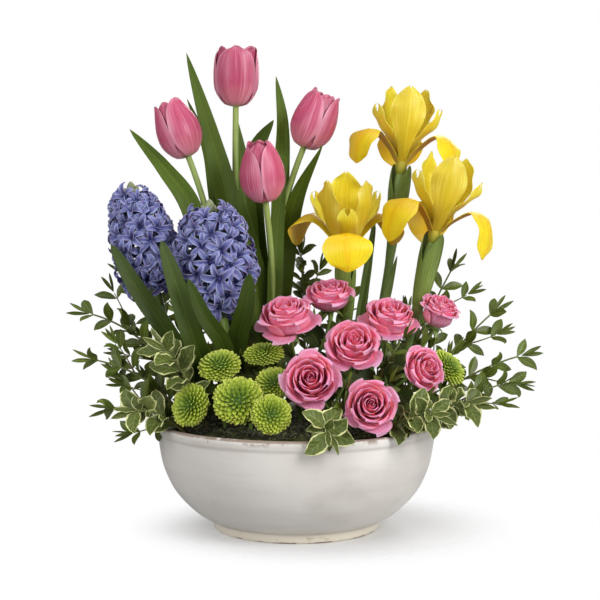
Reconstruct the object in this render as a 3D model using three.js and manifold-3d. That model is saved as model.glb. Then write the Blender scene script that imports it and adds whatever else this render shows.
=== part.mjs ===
// A spring flower arrangement in a footed bowl: tulips, hyacinths, irises, spray roses, button
// chrysanthemums and leafy sprigs, each stem in its own hole in a block of florist's foam.
// Millimetres, +Z up. The origin is the middle of the bowl's flat foot, and the front is -Y.
import * as THREE from "three";
import { mergeVertices } from "three/addons/utils/BufferGeometryUtils.js";
import Module from "manifold-3d";

const wasm = await Module();
wasm.setup();

// ---------------------------------------------------------------- driving dimensions
const BOWL = { rim: 134, height: 103, foot: 82, footHeight: 11, wall: 6.5 };
const FOAM = { floor: 8, edge: 90, crown: 101 };
const STEM_END = 58; // how low in the foam the stems reach
const GAP = 0.5; // between a stem and its hole, and between a bloom and its stem

const COLOURS = {
  glaze: { color: 0xe6e1da, roughness: 0.38 },
  foam: { color: 0x3c4a24, roughness: 0.95 },
  tulip: { color: 0xd4698f, roughness: 0.55 },
  hyacinth: { color: 0x7b7fd0, roughness: 0.6 },
  iris: { color: 0xf0cf1c, roughness: 0.5 },
  rose: { color: 0xea88a8, roughness: 0.6 },
  button: { color: 0xa9c53a, roughness: 0.7 },
  bud: { color: 0xa3b078, roughness: 0.6 },
  leaf: { color: 0x4c7032, roughness: 0.5 },
  stem: { color: 0x6f8f3f, roughness: 0.55 },
  myrtle: { color: 0x46602c, roughness: 0.4 },
  variegated: { color: 0x7d9158, roughness: 0.45 },
};

// ---------------------------------------------------------------- points and curves
const UP = new THREE.Vector3(0, 0, 1);
const TURN = 2 * Math.PI;
const GOLDEN_ANGLE = TURN * 0.381966;
const { clamp, degToRad, lerp } = THREE.MathUtils;

const point = (x, y, z) => new THREE.Vector3(x, y, z);
const around = (angle, radius, height) =>
  point(radius * Math.cos(angle), radius * Math.sin(angle), height);
const spline = (points) => new THREE.CatmullRomCurve3(points, false, "catmullrom", 0.5);
const bend = (...points) => new THREE.QuadraticBezierCurve3(...points);

// A number from -1 to 1 that looks random and is the same on every run.
function wobble(seed) {
  const wave = Math.sin(seed * 12.9898) * 43758.5453;
  return 2 * (wave - Math.floor(wave)) - 1;
}

// Where on a rising curve a height is reached.
function heightOn(curve, height) {
  let [low, high] = [0, 1];
  for (let i = 0; i < 24; i++) {
    const middle = (low + high) / 2;
    if (curve.getPoint(middle).z < height) low = middle;
    else high = middle;
  }
  return low;
}

// ---------------------------------------------------------------- solids
// A closed geometry as a solid: corners that meet are merged, and collapsed faces are dropped.
function solid(geometry) {
  const bare = new THREE.BufferGeometry();
  const loose = geometry.index ? geometry.toNonIndexed() : geometry;
  bare.setAttribute("position", loose.getAttribute("position"));
  const merged = mergeVertices(bare, 1e-3);
  const corners = [];
  for (let i = 0; i < merged.index.count; i += 3) {
    const [a, b, c] = merged.index.array.slice(i, i + 3);
    if (a !== b && b !== c && c !== a) corners.push(a, b, c);
  }
  const vertProperties = merged.attributes.position.array;
  const triVerts = new Uint32Array(corners);
  return new wasm.Manifold(new wasm.Mesh({ numProp: 3, vertProperties, triVerts }));
}

function geometryOf(made) {
  const { vertProperties, triVerts } = made.getMesh();
  return new THREE.BufferGeometry()
    .setAttribute("position", new THREE.BufferAttribute(vertProperties, 3))
    .setIndex(new THREE.BufferAttribute(triVerts, 1));
}

// Joins overlapping geometries into one body. A scrap that touches nothing is dropped.
function fuse(geometries) {
  const joined = geometries.map(solid).reduce((whole, piece) => whole.add(piece));
  const bodies = joined.decompose();
  bodies.sort((a, b) => b.volume() - a.volume());
  return geometryOf(bodies[0]);
}

// A round or oval body around +Z, closed where place brings the first and last rows to a point.
// Every other face is split the other way, so that a pattern of peaks comes out even.
function turned(place, columns, rows) {
  const at = (i, j) => place(((i % columns) * TURN) / columns, j / rows, i % columns, j);
  const faces = [];
  for (let j = 0; j < rows; j++)
    for (let i = 0; i < columns; i++) {
      const [a, b, c, d] = [at(i, j), at(i + 1, j), at(i + 1, j + 1), at(i, j + 1)];
      faces.push(...((i + j) % 2 ? [a, b, c, a, c, d] : [a, b, d, b, c, d]));
    }
  return new THREE.BufferGeometry().setFromPoints(faces);
}

// ---------------------------------------------------------------- leaves and petals
// The surface of a leaf along its rib: u from -1 to 1 across it and v from 0 to 1 along it. Its
// upper side faces facing, and its halves fold up from the rib.
function leafSurface(rib, { facing, halfWidth, fold = 0.25 }) {
  return (u, v) => {
    const tangent = rib.getTangent(clamp(v, 0.001, 0.999));
    const right = facing.clone().cross(tangent).normalize();
    const upward = tangent.clone().cross(right);
    const width = halfWidth(clamp(v, 0, 1));
    const place = rib.getPoint(clamp(v, 0, 1)).addScaledVector(right, u * width);
    return place.addScaledVector(upward, Math.abs(u) * width * fold);
  };
}

// The cross-sections of a surface with a thickness: lower side, right edge, upper side and left
// edge at each station. It is thick along the rib and comes to an edge on both sides.
function sections(place, stations, thick) {
  return stations.map((v) => {
    const middle = place(0, v);
    const along = place(0, v + 1e-3).sub(place(0, v - 1e-3));
    const down = place(0.5, v).sub(place(-0.5, v)).cross(along).setLength(thick / 2);
    return [middle.clone().add(down), place(1, v), middle.clone().sub(down), place(-1, v)];
  });
}

// Faces from one cross-section to the next. Every split runs from the rib to the edge, alike on
// both sides of the blade.
function sectionFaces(near, far) {
  return [0, 1, 2, 3].flatMap((k) => {
    const after = (k + 1) % 4;
    const [a, b, c, d] = [near[k], near[after], far[after], far[k]];
    return k % 2 ? [a, b, d, b, c, d] : [a, b, c, a, c, d];
  });
}

// The end of a blade: a point, or flat across the last section where there is none.
function endFaces(last, tip) {
  if (!tip) return [last[0], last[1], last[2], last[0], last[2], last[3]];
  return [0, 1, 2, 3].flatMap((k) => [last[k], last[(k + 1) % 4], tip]);
}

// A blade as a closed body of its own, flat at the root and pointed at the tip.
function blade(rib, { thick = 1.6, steps = 4, ...shape }) {
  const place = leafSurface(rib, shape);
  const stations = Array.from({ length: steps }, (_, i) => i / steps);
  const parts = sections(place, stations, thick);
  const [a, b, c, d] = parts[0];
  const faces = [a, c, b, a, d, c, ...endFaces(parts[steps - 1], place(0, 1))];
  for (let i = 1; i < steps; i++) faces.push(...sectionFaces(parts[i - 1], parts[i]));
  return new THREE.BufferGeometry().setFromPoints(faces);
}

// A blade that grows from a face of a stem or a flower's heart.
function sprout(place, { stations, thick = 1.5, blunt = false }) {
  return { parts: sections(place, stations, thick), tip: blunt ? null : place(0, 1) };
}

function sproutFaces(corners, { parts, tip }) {
  const root = [0, 1, 2, 3].flatMap((k) => {
    const after = (k + 1) % 4;
    return [corners[k], corners[after], parts[0][k], corners[after], parts[0][after], parts[0][k]];
  });
  const middle = parts.slice(1).flatMap((part, i) => sectionFaces(parts[i], part));
  return [...root, ...middle, ...endFaces(parts[parts.length - 1], tip)];
}

// A petal of a cup around +Z, from rows of radius, height and half its angle in degrees. lap sends
// one edge out and the other in, so that neighbours overlap without touching.
function cupPetal(rows, middle, { size = 1, lap = 0, curl = 0, ...shape }) {
  const profile = spline(rows.map((row) => point(...row)));
  const place = (u, v) => {
    const { x, y, z } = profile.getPoint(clamp(v, 0, 1));
    const radius = x * (1 + lap * u * Math.min(1, v * 2.4));
    return around(middle + u * degToRad(z), radius * size, (y - curl * Math.abs(u) * v) * size);
  };
  const stations = rows.map((_, i) => i / (rows.length - 1)).slice(1, shape.blunt ? undefined : -1);
  return sprout(place, { stations, ...shape });
}

// A ring of points around +Z, turned by phase columns.
function ring(sides, radius, height, phase = 0) {
  return Array.from({ length: sides }, (_, i) =>
    around(((i + phase) * TURN) / sides, radius, height),
  );
}

// A stem, tube or flower's heart from rings of points, with flat ends. growth(column, row, face)
// may give a sprout that grows from that face, given by its four corners.
function grown(rings, growth = () => null) {
  const sides = rings[0].length;
  const faces = [];
  for (let row = 0; row < rings.length - 1; row++)
    for (let column = 0; column < sides; column++) {
      const after = (column + 1) % sides;
      const [low, high] = [rings[row], rings[row + 1]];
      const [a, b, c, d] = [low[column], low[after], high[after], high[column]];
      const made = growth(column, row, [a, b, c, d]);
      faces.push(...(made ? sproutFaces([a, b, c, d], made) : [a, b, c, a, c, d]));
    }
  const [first, last] = [rings[0], rings[rings.length - 1]];
  for (let k = 1; k < sides - 1; k++) {
    faces.push(first[0], first[k + 1], first[k], last[0], last[k], last[k + 1]);
  }
  return new THREE.BufferGeometry().setFromPoints(faces);
}

// ---------------------------------------------------------------- the scene
const arrangement = new THREE.Group();
const standing = []; // the pieces made so far, as solids in the frame of the whole
const holes = []; // what the stems take out of the foam

function addPiece(name, geometry, colour, placing = new THREE.Matrix4()) {
  const material = new THREE.MeshStandardMaterial({ ...COLOURS[colour], metalness: 0 });
  geometry.computeVertexNormals();
  const mesh = new THREE.Mesh(geometry, material);
  mesh.name = name;
  mesh.applyMatrix4(placing);
  arrangement.add(mesh);
  standing.push(solid(geometry.clone().applyMatrix4(placing)));
}

// Where a bloom sits: its base, the way it faces and how far it is turned about that.
function poise({ base, facing, turn = 0 }) {
  const lean = new THREE.Quaternion().setFromUnitVectors(UP, facing.clone().normalize());
  const spin = new THREE.Quaternion().setFromAxisAngle(UP, degToRad(turn));
  return new THREE.Matrix4().compose(base, lean.multiply(spin), point(1, 1, 1));
}

// A direction square to a curve that lies in one plane.
function squareTo(curve) {
  const [start, middle, end] = [0, 0.5, 1].map((v) => curve.getPoint(v));
  const square = middle.clone().sub(start).cross(end.clone().sub(start));
  if (square.length() > 0.5) return square.normalize();
  return end.sub(start).cross(point(1, 0, 0)).normalize();
}

// A ring of points around a curve at v.
function ringOn(curve, v, { side, sides, radius, phase = 0 }) {
  const tangent = curve.getTangent(v);
  const other = tangent.clone().cross(side).normalize();
  const first = other.clone().cross(tangent);
  return Array.from({ length: sides }, (_, i) => {
    const angle = ((i + phase) * TURN) / sides;
    const middle = curve.getPoint(v).addScaledVector(first, radius * Math.cos(angle));
    return middle.addScaledVector(other, radius * Math.sin(angle));
  });
}

// The way a face of a stem looks, square to the stem at v.
function outwardFrom([corner, , opposite], curve, v) {
  const middle = corner.clone().add(opposite).multiplyScalar(0.5);
  return middle.sub(curve.getPoint(v)).projectOnPlane(curve.getTangent(v)).normalize();
}

// A curve's point at v, moved out and along the stem.
function beside(curve, v, out, reach, rise) {
  const place = curve.getPoint(v).addScaledVector(out, reach);
  return place.addScaledVector(curve.getTangent(v), rise);
}

// The part of a stem that is in the foam runs straight, and its hole is that much wider.
function planted(curve, shape) {
  const exit = heightOn(curve, FOAM.crown + 4);
  const wide = { ...shape, radius: shape.radius + GAP };
  const deeper = curve.getTangent(0).multiplyScalar(-GAP);
  const floor = ringOn(curve, 0, wide).map((corner) => corner.add(deeper));
  holes.push(solid(grown([floor, ringOn(curve, exit, wide)])));
  return exit;
}

// The curve of a stem from its foot in the foam to just under the bloom, along the bloom's axis.
function stemCurve({ foot, base, facing }, below = 0) {
  const axis = facing.clone().normalize();
  const end = base.clone().addScaledVector(axis, -GAP - below);
  const low = point(foot.x, foot.y, STEM_END);
  return bend(low, end.clone().addScaledVector(axis, -end.distanceTo(low) * 0.45), end);
}

function stem(curve, { radius, sides = 6, steps = 4 }) {
  const shape = { side: squareTo(curve), sides, radius };
  const exit = planted(curve, shape);
  const stations = Array.from({ length: steps }, (_, i) => lerp(exit, 1, i / (steps - 1)));
  return grown([0, ...stations].map((v) => ringOn(curve, v, shape)));
}

// A long leaf that clasps the stem just above the foam and runs through the given points.
function claspingLeaf(curve, { widest, rib }, { facing, halfWidth }) {
  const root = curve.getPoint(heightOn(curve, FOAM.crown + 9));
  const shape = { facing, halfWidth: (v) => widest * halfWidth(v), steps: rib.length + 1, thick: 2 };
  return blade(spline([root, ...rib.map((at) => point(...at))]), shape);
}

// ---------------------------------------------------------------- bowl
// Thrown and glazed: a flat foot, a round belly that turns upright, and a slightly flared lip.
function bowl() {
  const { rim, height, foot, footHeight, wall } = BOWL;
  const outside = [
    [0, 0],
    [foot - 3, 0],
    [foot, footHeight - 2],
    [foot + 6, footHeight + 1],
    [108.5, 28.5],
    [120, 45],
    [128.5, 68],
    [131.5, 90],
    [rim, height - 2],
    [rim - 1, height],
  ];
  const inside = [
    [rim - wall, height - 1],
    [123.5, 88],
    [109, 42],
    [93, 25],
    [66, FOAM.floor - GAP],
    [0, FOAM.floor - GAP],
  ];
  const profile = [...outside, ...inside].map(([r, z]) => new THREE.Vector2(r, z));
  return new THREE.LatheGeometry(profile, 24).rotateX(Math.PI / 2);
}

addPiece("bowl", bowl(), "glaze");

// The foam fills the bowl to a low crown. It is placed last, when every stem has made its hole.
function foamBlock() {
  const { floor, edge, crown } = FOAM;
  const profile = [
    [0, floor],
    [64, floor],
    [91, 26],
    [107, 43],
    [121.5, edge],
    [98, crown],
    [0, crown],
  ].map(([r, z]) => new THREE.Vector2(r, z));
  return solid(new THREE.LatheGeometry(profile, 14).rotateX(Math.PI / 2));
}

const block = foamBlock();

// ---------------------------------------------------------------- tulips
// A petal's radius, height and half angle, from the seat to its tip.
const TULIP_PETAL = [
  [6, 2, 26],
  [14, 7, 30],
  [21, 21, 54],
  [20.5, 38, 50],
  [17.5, 49, 34],
  [15, 56, 0],
];
const TULIP_SEAT = [ring(6, 3.4, 0), ring(6, 6.5, 3.2)];

// Three petals outside and three inside between them. close draws their tips together.
function tulipBloom({ close }) {
  return grown(TULIP_SEAT, (column) => {
    const inner = column % 2;
    const shape = inner ? TULIP_PETAL.filter((_, i) => i !== 4) : TULIP_PETAL;
    const rows = shape.map(([radius, height, half], i) => {
      const drawn = 1 - close * Math.pow(Math.max(0, height - 21) / 35, 1.6);
      return [radius * drawn - (i > 0 ? 2.8 * inner : 0), height + inner, half];
    });
    return cupPetal(rows, (column + 0.5) * (TURN / 6), {});
  });
}

const tulipLeaf = {
  facing: point(0.15, -1, 0.1),
  halfWidth: (v) => lerp(0.35, 1, Math.min(1, v / 0.45)) * Math.pow(1 - Math.pow(v, 3.2), 0.8),
};

// Each tulip, with its long leaves.
const TULIPS = [
  {
    base: point(-59, 40, 402),
    facing: point(0.02, -0.03, 1),
    foot: point(-50, 24),
    turn: 240,
    close: -0.12,
    leaves: [
      { widest: 12.5, rib: [[-56, 20, 215], [-64, 26, 300], [-82, 28, 372], [-106, 32, 453]] },
      { widest: 12, rib: [[-48, 48, 220], [-52, 62, 320], [-62, 66, 400]] },
      { widest: 8, rib: [[-66, 46, 220], [-80, 54, 315], [-89, 64, 362], [-108, 66, 411]] },
    ],
  },
  {
    base: point(-104, 26, 353),
    facing: point(-0.36, 0, 0.93),
    foot: point(-66, 14),
    turn: 40,
    close: 0.24,
    leaves: [
      { widest: 11, rib: [[-82, 24, 230], [-101, 24, 303], [-127, 26, 342], [-161, 30, 380]] },
    ],
  },
  {
    base: point(6.5, 38, 362),
    facing: point(0.38, 0, 0.92),
    foot: point(-14, 28),
    turn: 78,
    close: 0.16,
    leaves: [
      { widest: 9, rib: [[-20, 42, 230], [-16, 46, 330], [-14, 48, 385], [-20, 50, 432]] },
      { widest: 12, rib: [[-15, 34, 216], [-12, 40, 264], [0, 40, 317], [25, 23, 365]] },
      { widest: 13, rib: [[-36, 56, 230], [-46, 66, 310], [-40, 70, 360], [-23, 72, 391]] },
    ],
  },
  {
    base: point(-29, -6, 310),
    facing: point(-0.12, -0.2, 0.97),
    foot: point(-30, 2),
    turn: 180,
    close: 0.3,
    leaves: [
      { widest: 8, rib: [[-22, 4, 220], [-18, 10, 293], [-10, 12, 357]] },
      { widest: 11, rib: [[-38, 8, 220], [-44, 10, 265], [-56, 14, 322]] },
    ],
  },
];

TULIPS.forEach((tulip, i) => {
  const curve = stemCurve(tulip);
  const leaves = tulip.leaves.map((leaf) => claspingLeaf(curve, leaf, tulipLeaf));
  addPiece(`tulip_${i + 1}_bloom`, tulipBloom(tulip), "tulip", poise(tulip));
  addPiece(`tulip_${i + 1}_stem`, fuse([stem(curve, { radius: 3.2 }), ...leaves]), "leaf");
});

// ---------------------------------------------------------------- hyacinths
const HYACINTH = { florets: 25, petals: 6 };

// One floret: a star of pointed petals on a slim throat that runs back into the spike.
function floret(size, root) {
  const back = point(0, 0, -root);
  const crown = point(0, 0, size * 0.25);
  const step = Math.PI / HYACINTH.petals;
  const corners = [];
  for (let k = 0; k < HYACINTH.petals; k++) {
    const [left, right] = [-step, step].map((turn) => around(2 * k * step + turn, size * 0.46, 0));
    const tip = around(2 * k * step, size, -size * 0.1);
    corners.push(crown, left, tip, crown, tip, right);
    corners.push(left, right, tip, left, back, right);
  }
  return new THREE.BufferGeometry().setFromPoints(corners);
}

// Florets all round a slim core, each a golden angle on from the last.
function hyacinthSpike({ length, radius, turn }) {
  const girth = (v) => radius * 0.5 * Math.pow(Math.sin(v * Math.PI), 0.5);
  const core = turned((angle, v) => around(angle, girth(v), length * 0.86 * v), 6, 4);
  const florets = Array.from({ length: HYACINTH.florets }, (_, k) => {
    const v = (k + 0.5) / HYACINTH.florets;
    const angle = k * GOLDEN_ANGLE + degToRad(turn);
    const reach = radius * Math.pow(Math.sin(Math.PI * lerp(0.2, 0.84, v)), 0.6) - 5;
    const base = around(angle, reach, length * lerp(0.08, 0.9, v));
    const facing = around(angle, 1, lerp(-0.35, 0.9, v * v));
    const star = floret(radius * lerp(0.45, 0.41, v), reach);
    return star.applyMatrix4(poise({ base, facing, turn: 40 * wobble(k) }));
  });
  return fuse([core, ...florets]);
}

// The tight green buds left at the top of the spike.
function hyacinthBuds() {
  const girth = (v) => 5.5 * Math.sin(Math.PI * v);
  const bud = () => turned((angle, v) => around(angle, girth(v), 16 * v), 6, 2);
  const leaning = [0, 1, 2].map((k) => {
    const facing = around((k * TURN) / 3, 0.45, 1);
    return bud().applyMatrix4(poise({ base: point(0, 0, 0), facing }));
  });
  return fuse([bud().translate(0, 0, 2), ...leaning]);
}

const strapLeaf = {
  facing: point(0, -1, 0.2),
  halfWidth: (v) => lerp(0.75, 1, Math.sin(v * Math.PI)) * Math.pow(1 - Math.pow(v, 7), 0.5),
};

const HYACINTHS = [
  {
    base: point(-134, 0, 224),
    top: point(-158, 0, 326),
    foot: point(-80, 2),
    length: 106,
    radius: 33,
    turn: 20,
    leaves: [
      { widest: 9, rib: [[-102, -22, 152], [-123, -36, 194], [-148, -42, 232], [-171, -42, 272]] },
      { widest: 10, rib: [[-86, -30, 150], [-95, -54, 187], [-108, -62, 232], [-123, -60, 276]] },
    ],
  },
  {
    base: point(-71, -22, 202),
    top: point(-82, -22, 308),
    foot: point(-62, -14),
    length: 110,
    radius: 39,
    turn: 80,
    leaves: [
      { widest: 8, rib: [[-64, -32, 150], [-68, -46, 180], [-84, -66, 208], [-98, -76, 242]] },
      { widest: 9.5, rib: [[-58, -28, 150], [-55, -36, 180], [-46, -62, 215], [-42, -74, 247]] },
    ],
  },
];

HYACINTHS.forEach((hyacinth, i) => {
  const { base, top, length } = hyacinth;
  const facing = top.clone().sub(base).normalize();
  const budSeat = base.clone().addScaledVector(facing, 0.86 * length + GAP);
  const curve = stemCurve({ ...hyacinth, facing });
  const leaves = hyacinth.leaves.map((leaf) => claspingLeaf(curve, leaf, strapLeaf));
  const name = `hyacinth_${i + 1}`;
  addPiece(`${name}_spike`, hyacinthSpike(hyacinth), "hyacinth", poise({ base, facing }));
  addPiece(`${name}_buds`, hyacinthBuds(), "bud", poise({ base: budSeat, facing }));
  addPiece(`${name}_stem`, fuse([stem(curve, { radius: 5 }), ...leaves]), "leaf");
});

// ---------------------------------------------------------------- irises
// Each kind of petal from the flower's heart outward: radius, height and half its width.
const IRIS_PETALS = {
  fall: [[5, 4, 4], [15, 17, 7], [31, 30, 12], [45, 27, 21], [54, 11, 23], [51, -6, 13]],
  standard: [[5, 5, 4], [13, 22, 7], [20, 44, 15], [22, 63, 16], [18, 79, 0]],
  style: [[4, 12, 3], [24, 35, 9], [37, 56, 14]],
};
const IRIS_TUBE = [ring(6, 4, -9), ring(6, 6, 1), ring(6, 5.5, 9), ring(6, 3.5, 15)];

function irisPetal(kind, angle, open = 0) {
  const rows = IRIS_PETALS[kind];
  const rib = spline(rows.map(([r, z]) => around(angle, r * (1 + open), z * (1 - open / 3))));
  const widths = new THREE.SplineCurve(rows.map(([, , half], i) => new THREE.Vector2(i, half)));
  const facing = kind === "standard" ? around(angle, -1, 0.2) : around(angle, -0.2, 1);
  const fold = kind === "standard" ? 0.35 : -0.25;
  const surface = leafSurface(rib, { facing, halfWidth: (v) => widths.getPoint(v).y, fold });
  const blunt = kind !== "standard";
  const stations = rows.map((_, i) => i / (rows.length - 1)).slice(1, blunt ? undefined : -1);
  return sprout(surface, { stations, blunt });
}

// Three falls and three standards by turns round the tube, and a style above each fall.
function irisBloom({ open }) {
  return grown(IRIS_TUBE, (column, row) => {
    const angle = (column + 0.5) * (TURN / 6);
    if (row === 1) return irisPetal(column % 2 ? "standard" : "fall", angle, column % 2 && open);
    return row === 2 && column % 2 === 0 ? irisPetal("style", angle) : null;
  });
}

// The stem swells into the green sheath that the bud came out of, with two pointed tips.
const SHEATH = [
  { before: 90, radius: 4 },
  { before: 62, radius: 5.5 },
  { before: 34, radius: 8.5 },
  { before: 20, radius: 8.5 },
  { before: 0, radius: 5 },
];

const SHEATH_TIP = [[8, 6], [10.5, 17], [11, 31], [9.5, 44]]; // how far out and how far up

function irisStem(curve) {
  const shape = { side: squareTo(curve), sides: 6, radius: 4 };
  const exit = planted(curve, shape);
  const length = curve.getLength();
  const sheath = SHEATH.map(({ before, radius }) => ({ v: 1 - before / length, radius }));
  const swell = [{ v: 0 }, { v: exit }, { v: lerp(exit, sheath[0].v, 0.5) }, ...sheath];
  const rings = swell.map(({ v, radius = 4 }) => ringOn(curve, v, { ...shape, radius }));
  const wide = swell.length - 3;
  return grown(rings, (column, row, face) => {
    if (row !== wide || column % 3) return null;
    const { v } = swell[wide];
    const out = outwardFrom(face, curve, v);
    const rib = spline(SHEATH_TIP.map((at) => beside(curve, v, out, ...at)));
    const halfWidth = (w) => 5 * Math.sin(Math.PI * lerp(0.4, 1, w));
    return sprout(leafSurface(rib, { facing: out.negate(), halfWidth }), { stations: [0.3, 0.65] });
  });
}

const irisLeaf = { ...tulipLeaf, facing: point(-0.4, -1, 0) };

const IRISES = [
  {
    base: point(103, 55, 345),
    facing: point(0.1, 0, 1),
    foot: point(54, 44),
    turn: -60,
    open: 0.08,
    leaves: [{ widest: 5, rib: [[66, 60, 200], [72, 70, 250], [79, 76, 300]] }],
  },
  {
    base: point(47, 8, 260),
    facing: point(0, -0.3, 1),
    foot: point(50, 22),
    turn: 240,
    open: 0.12,
    leaves: [{ widest: 4, rib: [[60, 30, 190], [69, 34, 240], [77, 36, 286]] }],
  },
  {
    base: point(131, 2, 279),
    facing: point(0.2, -0.04, 0.98),
    foot: point(76, 8),
    turn: 64,
    open: 0.1,
    leaves: [{ widest: 4, rib: [[84, 22, 190], [91, 30, 230], [98, 35, 258]] }],
  },
];

IRISES.forEach((iris, i) => {
  const curve = stemCurve(iris, 9);
  const leaves = iris.leaves.map((leaf) => claspingLeaf(curve, leaf, irisLeaf));
  addPiece(`iris_${i + 1}_bloom`, irisBloom(iris), "iris", poise(iris));
  addPiece(`iris_${i + 1}_stem`, fuse([irisStem(curve), ...leaves]), "leaf");
});

// ---------------------------------------------------------------- leaves on stems
const FRONT = point(0, -1, 0.5);
const BACK = point(0, 1, 0.5);

// The room that a leaf needs, from a little beyond its root, if nothing else stands in it.
function roomFor({ rib, halfWidth, ...shape }, others) {
  const [start, middle, end] = [0.16, 0.58, 1].map((v) => rib.getPoint(v));
  const knee = middle.multiplyScalar(2).addScaledVector(start, -0.5).addScaledVector(end, -0.5);
  const wide = (v) => 1.15 * halfWidth(lerp(0.16, 1, v)) + 0.4;
  const wider = { ...shape, halfWidth: wide, thick: 2.6, steps: 3 };
  const room = solid(blade(bend(start, knee, end), wider));
  return others.every((made) => made.intersect(room).isEmpty()) ? room : null;
}

// A leaf from a face of a stem at v, turned to the light. Where it would cross another piece it is
// made shorter, and past that left off.
function leafFrom(face, curve, v, { kind, light, full, others }) {
  const out = outwardFrom(face, curve, v);
  for (const size of [full, 0.75 * full, 0.55 * full]) {
    const length = kind.length * size;
    const at = (reach, rise) => beside(curve, v, out, reach * length, rise * length);
    const rib = bend(at(0.03, 0), at(0.55, kind.lean.up * 0.9), at(kind.lean.out, kind.lean.up));
    const facing = curve.getTangent(v).multiplyScalar(0.4).add(light);
    const halfWidth = (w) => kind.width * size * Math.sin(Math.PI * Math.pow(w, 0.85));
    const leaf = { rib, facing, halfWidth, fold: 0.2 };
    const room = roomFor(leaf, others);
    if (!room) continue;
    others.push(room);
    return sprout(leafSurface(rib, leaf), { stations: [0.32, 0.68] });
  }
  return null;
}

// ---------------------------------------------------------------- sprays
// A bloom given by its middle, moved back to its base along the way it faces.
function seated({ centre, facing, turn }, depth) {
  const base = centre.clone().addScaledVector(facing.clone().normalize(), -depth);
  return { base, facing, turn };
}

// A straight stem to a fork, and from there a branch to each bloom with leaves halfway. collar
// gives how the branch widens under the bloom, and sepal what grows from that.
function spray({ foot, fork, blooms }, { radius, depth, collar, sepal, leaves }, others) {
  const trunk = new THREE.LineCurve3(point(foot.x, foot.y, STEM_END), fork);
  const shape = { side: squareTo(trunk), sides: 5, radius };
  if (others) planted(trunk, shape);
  const branches = blooms.map((bloom) => {
    const { base, facing } = seated(bloom, depth(bloom));
    const axis = facing.clone().normalize();
    const end = base.clone().addScaledVector(axis, -GAP);
    const knee = end.clone().addScaledVector(axis, -end.distanceTo(fork) * 0.4);
    const curve = bend(fork, knee, end);
    const length = curve.getLength();
    const node = 1.5 / length;
    const branch = [0, 0.42 - node, 0.42 + node].map((v) => ({ v, wide: radius * 0.8 }));
    const flare = collar(bloom).map(({ before, wide }) => ({ v: 1 - before / length, wide }));
    const rings = [...branch, ...flare].map(({ v, wide }) =>
      ringOn(curve, v, { side: squareTo(curve), sides: 5, radius: wide }),
    );
    return grown(rings, (column, row, face) => {
      if (others && row === 1 && leaves.columns.includes(column)) {
        return leafFrom(face, curve, 0.42, { ...leaves, full: 1, others });
      }
      return sepal && row === rings.length - 2 ? sepal(bloom, curve, face) : null;
    });
  });
  const girth = (v) => radius * 1.6 * Math.sin(v * Math.PI);
  const knuckle = turned((angle, v) => around(angle, girth(v), radius * 4 * (v - 0.5)), 5, 2);
  const stalk = grown([0, 1].map((v) => ringOn(trunk, v, shape)));
  return fuse([stalk, knuckle.translate(fork.x, fork.y, fork.z), ...branches]);
}

// ---------------------------------------------------------------- spray roses
// Three tiers of five petals, each tier between the petals of the last, from the outside in. The
// rows give a petal's radius, height and half angle from its root to its lip.
const ROSE_TIERS = [
  [[7, 4, 28], [17, 5, 32], [26, 11, 50], [30, 18, 34]],
  [[8, 9, 20], [19, 15, 28], [23.5, 30, 46]],
  [[7, 14, 22], [13, 20, 26], [14, 33, 40]],
];
const ROSE_HEART = [[5, 1], [8, 7], [8, 12], [7, 17], [3.5, 31]];

function roseBloom({ size, open = 1 }) {
  const heart = ROSE_HEART.map(([radius, z], row) => ring(5, radius * size, z * size, row / 2));
  return grown(heart, (column, row) => {
    if (row >= ROSE_TIERS.length) return null;
    const middle = (column + row / 2 + 0.75) * (TURN / 5);
    const rows = ROSE_TIERS[row].map(([radius, z, half]) => [radius * open, z, half]);
    return cupPetal(rows, middle, { size, lap: 0.13, curl: 2, blunt: true });
  });
}

// The calyx: a small cup with five sepals turned back.
const roseCollar = ({ size }) => [
  { before: 8, wide: 1.8 },
  { before: 3, wide: 4.4 * size },
  { before: 0, wide: 5.4 * size },
];

function roseSepal({ size }, curve, face) {
  const out = outwardFrom(face, curve, 1);
  const at = (reach, rise) => beside(curve, 1, out, reach * size, rise * size);
  const rib = bend(at(4, -1.5), at(11, -1), at(15, -8));
  const shape = { facing: curve.getTangent(1), halfWidth: (v) => 3.2 * size * (1 - v * v) };
  return sprout(leafSurface(rib, shape), { stations: [0.45], thick: 1.2 });
}

// Three sprays, each of one stem.
const ROSE_SPRAYS = [
  {
    foot: point(2, -10),
    fork: point(4, -14, 140),
    blooms: [
      { centre: point(-9, -46, 205), facing: point(-0.15, -0.42, 0.9), size: 0.93, turn: 10 },
      { centre: point(31, -14, 222), facing: point(-0.05, -0.35, 0.93), size: 0.8, turn: 40 },
    ],
  },
  {
    foot: point(28, -36),
    fork: point(32, -44, 116),
    blooms: [
      { centre: point(52, -64, 180), facing: point(0, -0.75, 0.66), size: 0.88, turn: 70 },
      { centre: point(13, -88, 152), facing: point(-0.05, -0.93, 0.35), size: 0.85, turn: 20 },
      { centre: point(66, -104, 131), facing: point(0.05, -0.93, 0.3), size: 0.78, turn: 50 },
    ],
  },
  {
    foot: point(72, -16),
    fork: point(84, -22, 128),
    blooms: [
      { centre: point(87, -32, 203), facing: point(0.1, -0.45, 0.88), size: 0.86, turn: 30 },
      { centre: point(134, -18, 207), facing: point(0.3, -0.35, 0.88), size: 0.84, open: 0.75, turn: 0 },
      { centre: point(114, -78, 160), facing: point(0.5, -0.75, 0.42), size: 0.8, open: 0.88, turn: 60 },
    ],
  },
];

const ROSE_LEAF = { length: 34, width: 11, lean: { out: 0.85, up: 0.4 } };
const ROSE_SHAPE = {
  radius: 2,
  depth: ({ size }) => 18 * size,
  collar: roseCollar,
  sepal: roseSepal,
  leaves: { kind: ROSE_LEAF, columns: [0, 2], light: FRONT },
};

// ---------------------------------------------------------------- button chrysanthemums
const BUTTON = { columns: 16, rows: 7 };

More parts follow.
